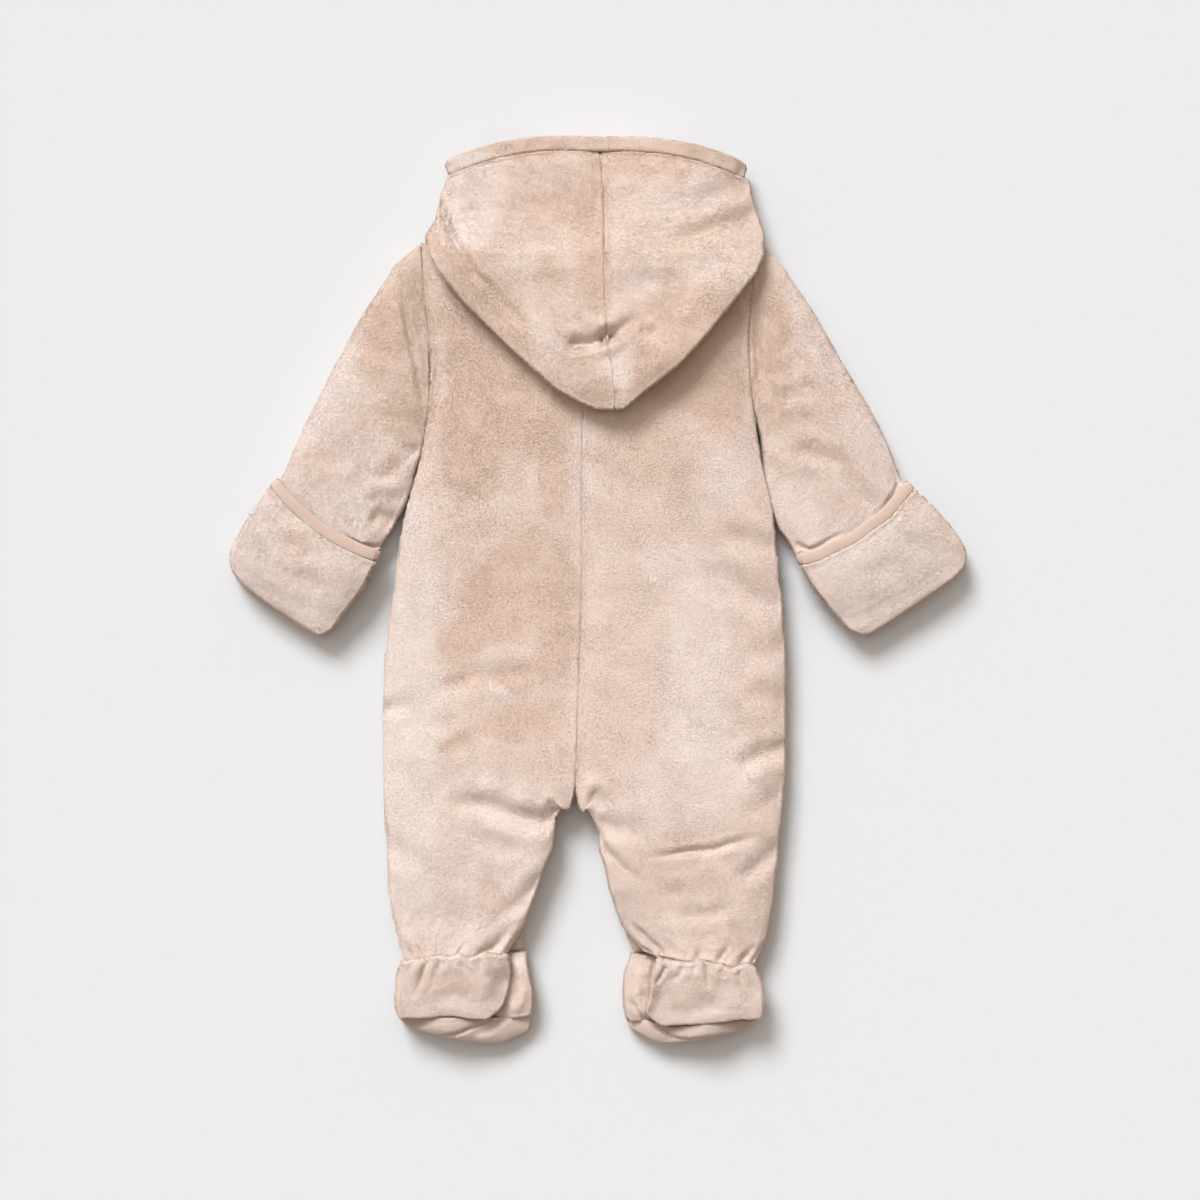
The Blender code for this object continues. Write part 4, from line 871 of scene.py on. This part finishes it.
def tape_cloth(name):
    """Woven tape: a fine twill with a little unevenness."""
    mat, tree, shader = shader_of(name, Roughness=0.75)
    twill = texture(tree, "Wave", 900, Distortion=1.5)
    twill.bands_direction = "DIAGONAL"
    weave = twill.outputs["Fac"]
    colour = colour_over(tree, weave, TAPE_DARK, TAPE_LIGHT)
    wired(tree, shader, Base_Color=colour, Normal=relief(tree, weave, 0.4, 0.0002))
    return mat


def plated(name, colour, metallic, rough):
    """Plated metal or moulded teeth, a little uneven and brushed."""
    mat, tree, shader = shader_of(name, Metallic=metallic)
    wear_and_painted_shade = texture(tree, "Noise", 700, Detail=4).outputs["Fac"]
    spread = tree.nodes.new("ShaderNodeMapRange")
    wired(tree, spread, Value=wear_and_painted_shade, To_Min=rough - 0.08, To_Max=rough + 0.1)
    blend = colour_over(tree, wear_and_painted_shade, shaded(colour, 0.85), colour)
    wired(tree, shader, Base_Color=blend, Roughness=spread.outputs["Result"])
    return mat


# ---------------------------------------------------------------- pile


def seen_from_outside(centres, normals, everything):
    """Which faces can be seen from above or from the sides."""
    looks = [Vector((0, 0, 1))]
    for lift in LOOK_LIFTS:
        for k in range(LOOKS_AROUND):
            angle = 2 * math.pi * (k + 0.25) / LOOKS_AROUND
            looks.append(Vector((math.cos(angle), math.sin(angle), lift)).normalized())
    seen = []
    for centre, normal in zip(centres, normals):
        start = Vector(centre) + Vector(normal) * 0.0006 + Vector((0, 0, 0.0012))
        ahead = (look for look in looks if look.dot(normal) > 0.05)
        seen.append(any(everything.ray_cast(start, look, LOOK_REACH)[0] is None for look in ahead))
    return np.array(seen)


def has_pile(node, spots):
    """Where a shell has pile: all over, but for the smooth undersides of the soles."""
    if node not in UNDER_SOLES:
        return np.ones(len(spots), bool)
    line = np.array(UNDER_SOLES[node], float)
    return spots[:, 1] > np.interp(spots[:, 0], line[:, 0], line[:, 1])


def pile_on(node, shell, everything, density, seed, finishes):
    """Tufts of pile on the parts of a shell that show, each a blade that lies over towards the feet."""
    rng = np.random.default_rng(seed)
    mesh = shell.data
    mesh.calc_loop_triangles()
    corners = got(mesh.loop_triangles, "vertices", 3, np.int32)
    points, normals = arrays_of(mesh), normals_of(mesh)
    a, b, c = (points[corners[:, k]] for k in range(3))
    cross = np.cross(b - a, c - a)
    area = np.linalg.norm(cross, axis=1) / 2
    face_normals = cross / (2 * area[:, None]).clip(1e-15)
    centres = (a + b + c) / 3
    show = (face_normals[:, 2] > -0.6) & has_pile(node, placed(centres))
    show[show] = seen_from_outside(centres[show], face_normals[show], everything)
    running = np.concatenate(((0.0,), np.cumsum(area / MM**2 * density * show)))
    counts = np.diff(np.floor(running)).astype(int)
    faces = np.repeat(np.arange(len(corners)), counts)
    count = len(faces)
    one, two = rng.random(count), rng.random(count)
    fold = one + two > 1
    one, two = np.where(fold, 1 - one, one), np.where(fold, 1 - two, two)
    shares = np.stack((1 - one - two, one, two), axis=1)[:, :, None]

    def over(values):
        """Values at the points of the shell, at each tuft."""
        return (values[corners[faces]] * shares).sum(1)

    roots = over(points)
    ups = unit(over(normals))
    spots = placed(roots)
    near = bell(over(got(mesh.attributes["clear"].data, "value", 1)[:, None]), 2.2)
    toward = over(got(mesh.attributes["toward"].data, "vector", 3))
    # which way the pile lies: to the feet, swept about where it has been brushed, and over the seams
    sweep = 1.3 * layered_noise(spots, 40, 51, 2) + 0.8 * soft_noise(spots, 13, 54)
    lay = np.stack((np.sin(sweep), -np.cos(sweep), np.full(count, -0.1)), axis=1)
    ruffled = np.clip(patched(spots, RUFFLED, RUFFLED_BASE), 0.1, 1)[:, None]
    flocks = slope_of(spots, 4.2, 62)
    lay += ruffled * (0.4 * slope_of(spots, 2.4, 61) + 0.4 * flocks) + 0.8 * near * toward
    lay += rng.normal(0, LAY_SPREAD, (count, 3))
    lay = unit(lay - ups * (lay * ups).sum(1)[:, None], 1e-9)
    tilt = PILE_TILT + 0.2 * soft_noise(spots, 11, 63) + rng.normal(0, TILT_SPREAD, count)
    tilt = np.clip(tilt - 0.15 * near[:, 0], LEAST_TILT, MOST_TILT)[:, None]
    longer = 1 + 0.16 * soft_noise(spots, 5, 64) + rng.normal(0, LENGTH_SPREAD, count)
    reach = PILE_LENGTH * MM * longer[:, None] * (0.9 + 0.3 * ruffled + 0.1 * near)
    ahead = ups * np.cos(tilt) + lay * np.sin(tilt)
    side = unit(np.cross(ahead, ups), 1e-9)
    roll = rng.normal(0, ROLL_SPREAD, count)[:, None]
    side = side * np.cos(roll) + np.cross(ahead, side) * np.sin(roll)
    half = PILE_WIDTH * MM / 2 * rng.uniform(0.75, 1.2, count)[:, None]
    roots = roots - ups * 0.0002
    tips = roots + ahead * reach
    tips[:, 2] = tips[:, 2].clip(0.0002)
    roots[:, 2] = roots[:, 2].clip(0.0004)
    blades = np.stack((roots - side * half, tips, roots + side * half), axis=1)
    facing = np.cross(blades[:, 1] - blades[:, 0], blades[:, 2] - blades[:, 0])
    wrong = (facing * ups).sum(1) < 0
    blades[wrong] = blades[wrong][:, ::-1]
    facing[wrong] *= -1
    # the light falls on a tuft much as on the cloth, so that the pile looks soft
    soft = ups + unit(facing) * 0.06 + ahead * 0.04
    soft -= (0.03 + 0.05 * ruffled) * slope_of(spots, 1.5, 71)
    soft -= (0.01 + 0.10 * ruffled) * flocks
    soft[:, 1] += 0.05 * np.sin(spots[:, 1] * (2 * math.pi / ROW_PITCH) + 2 * soft_noise(spots, 30, 72))
    # the tone: the nap with its painted light and shade, grain, more tan beside a neighbouring piece, and
    # each tuft's own; tufts past tan get the darkest finish, painted shade between the tufts
    tone = nap_and_painted_light(spots) + GRAIN * (0.35 + ruffled[:, 0]) * soft_noise(spots, 0.9, 73)
    tone = tone + 0.06 * ruffled[:, 0] * soft_noise(spots, 4.2, 62) + 0.35 * near[:, 0]
    tone = tone + rng.normal(0, TUFT_GRAIN, count)

    data = bpy.data.meshes.new(shell.name)
    data.vertices.add(count * 3)
    data.vertices.foreach_set("co", blades.astype(np.float32).ravel())
    data.loops.add(count * 3)
    data.loops.foreach_set("vertex_index", np.arange(count * 3, dtype=np.int32))
    data.polygons.add(count)
    data.polygons.foreach_set("loop_start", np.arange(0, count * 3, 3, dtype=np.int32))
    # each tuft's finish by its tone, the last and darkest being painted shade
    wear_and_painted_shade = np.clip(np.floor(tone * TONES), 0, TONES).astype(np.int32)
    data.polygons.foreach_set("material_index", wear_and_painted_shade)
    for mat in finishes:
        data.materials.append(mat)
    data.update(calc_edges=True)
    data.shade_smooth()
    data.normals_split_custom_set_from_vertices(np.repeat(unit(soft), 3, axis=0).astype(np.float32))
    obj = link(node + ".pile", data)
    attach(obj, "root")
    return obj


# ---------------------------------------------------------------- stage


def floor_and_lights():
    far = BACKDROP_REACH
    plane = bpy.data.meshes.new("floor")
    plane.from_pydata([(-far, -far, 0), (far, -far, 0), (far, far, 0), (-far, far, 0)], [], [(0, 1, 2, 3)])
    floor = link("floor", plane)
    dull = {"Specular_IOR_Level": 0.0}
    floor.data.materials.append(shader_of("floor", Base_Color=(*FLOOR_COLOUR, 1), Roughness=1.0, **dull)[0])
    dome = bmesh.new()
    bmesh.ops.create_uvsphere(dome, u_segments=48, v_segments=24, radius=far * 0.9)
    backdrop = made_of(dome, "backdrop")
    glow = {"Emission_Color": (*BACKDROP_COLOUR, 1), "Emission_Strength": 1.0}
    backdrop.data.materials.append(shader_of("backdrop", Base_Color=(0, 0, 0, 1), **dull, **glow)[0])
    # the pale backdrop is only looked at, and the fill passes through it
    backdrop.visible_diffuse = False
    backdrop.visible_glossy = False
    backdrop.visible_transmission = False
    backdrop.visible_shadow = False
    for name, come_from, elevation, width, strength in LIGHTS:
        sun = bpy.data.lights.new(name, "SUN")
        sun.energy = strength
        sun.color = LIGHT_COLOUR
        sun.angle = math.radians(width)
        lamp = link(name, sun)
        lift = math.radians(elevation)
        out = Vector((*come_from, 0)).normalized() * math.cos(lift)
        lamp.rotation_euler = Vector((out.x, out.y, math.sin(lift))).to_track_quat("Z", "Y").to_euler()
    world = bpy.data.worlds.new("fill")
    bpy.context.scene.world = world
    world.use_nodes = True
    wired(world.node_tree, world.node_tree.nodes["Background"], Color=(*FILL_COLOUR, 1), Strength=FILL)


def camera():
    data = bpy.data.cameras.new("camera")
    data.sensor_width = SENSOR
    data.lens = SENSOR * CAMERA_HEIGHT / CAMERA_SPAN
    eye = link("camera", data)
    eye.location = (*CAMERA_CENTRE, CAMERA_HEIGHT + CAMERA_FOCUS)
    bpy.context.scene.camera = eye


# ---------------------------------------------------------------- the zip


def softened_copy(name, node, width, finish):
    """A CAD node's own shape, with its edges rounded."""
    mesh = welded(node)
    bmesh.ops.dissolve_limit(mesh, angle_limit=0.02, verts=mesh.verts, edges=mesh.edges)
    obj = made_of(mesh, name)
    rounded = obj.modifiers.new("rounded", "BEVEL")
    rounded.width = width * MM
    rounded.segments = 2
    rounded.limit_method = "ANGLE"
    applied(obj)
    obj.data.shade_flat()
    obj.data.materials.clear()
    obj.data.materials.append(finish)
    return obj


def zip_teeth(name, tape, finish):
    """The zip's closed chain: two rows of small rounded teeth that meet down the tape's middle."""
    points = placed(arrays_of(tape.data))
    low, high = points[:, 1].min() + 2, points[:, 1].max() - 2
    floor = points[:, 2].min()
    heights = np.unique(points[:, 1].round(2))
    middles = np.array([points[np.abs(points[:, 1] - y) < 0.02, 0].mean() for y in heights])
    mesh = bmesh.new()
    for k in range(int((high - low) / TOOTH_PITCH)):
        y = low + k * TOOTH_PITCH
        side = 1 if k % 2 else -1
        x = float(np.interp(y, heights, middles)) + side * 0.45
        for vert in bmesh.ops.create_cube(mesh, size=1)["verts"]:
            vert.co = vert.co * Vector(TOOTH_SIZE) + Vector((x, y, floor - 0.1))
            vert.co = (vert.co + Vector(PLACE)) * MM
    bmesh.ops.bevel(mesh, geom=mesh.edges[:], offset=0.12 * MM, segments=1, affect="EDGES")
    obj = made_of(mesh, name)
    obj.data.materials.append(finish)
    return obj


# ---------------------------------------------------------------- the pramsuit

floor_and_lights()
camera()
bpy.context.scene.view_settings.view_transform = "Standard"

# Each kind of cloth: the slot it is in, the finish of its ground, and those of its pile.
# the plush's ground is darkened: painted shade between the tufts
PLUSH = ("plush", plush("plush_ground", GROUND_PAINTED_SHADE), pile_tones("pile", 1.0))
# the soles are darker copies of the plush: painted shade
SOLE = ("sole_plush", plush("sole_ground_painted_shade", SOLE_GROUND_PAINTED_SHADE), pile_tones("sole_pile_painted_shade", SOLE_PILE_PAINTED_SHADE))
JERSEY = ("jersey", jersey_cloth("jersey_binding"), None)

shells, cloths = {}, {}
for part, *how in SHELLS:
    for node in [part] if part == "hood_brim" else [f"{part}_{side}" for side in SIDES]:
        shells[node] = shell_over(node, *how)
        cloths[node] = SOLE if part == "sole" else JERSEY if part == "mitt_binding" else PLUSH
for obj in shells.values():
    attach(obj, "root")

everything = tree_over([obj.data for obj in shells.values()])
density = PILE_DENSITY * 1.0
for k, (node, obj) in enumerate(shells.items()):
    slot, _, finishes = cloths[node]
    if finishes:
        pile_on(node, obj, everything, density, FIRST_SEED + k, finishes)

for node, obj in shells.items():
    if node.startswith(("sleeve", "hood_l", "hood_r")):
        hollowed(obj)
    slot, ground, _ = cloths[node]
    keep(obj.data, "nap_and_painted_light", nap_and_painted_light(placed(arrays_of(obj.data))))
    obj.data.materials.clear()
    obj.data.materials.append(ground)
    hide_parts(node)

tape = softened_copy("front_zip.tape", "front_zip", 0.4, tape_cloth("woven_tape"))
teeth = zip_teeth("front_zip.teeth", tape, plated("moulded_teeth", TEETH, 0.0, 0.4))
slider = softened_copy("zip_slider.body", "zip_slider", 0.3, plated("nickel_plate", NICKEL, 1.0, 0.32))
for piece, slot in ((tape, "zip_tape"), (teeth, "zip_tape"), (slider, "nickel")):
    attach(piece, "root")
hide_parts("front_zip")
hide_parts("zip_slider")

shells["front_zip"] = tape
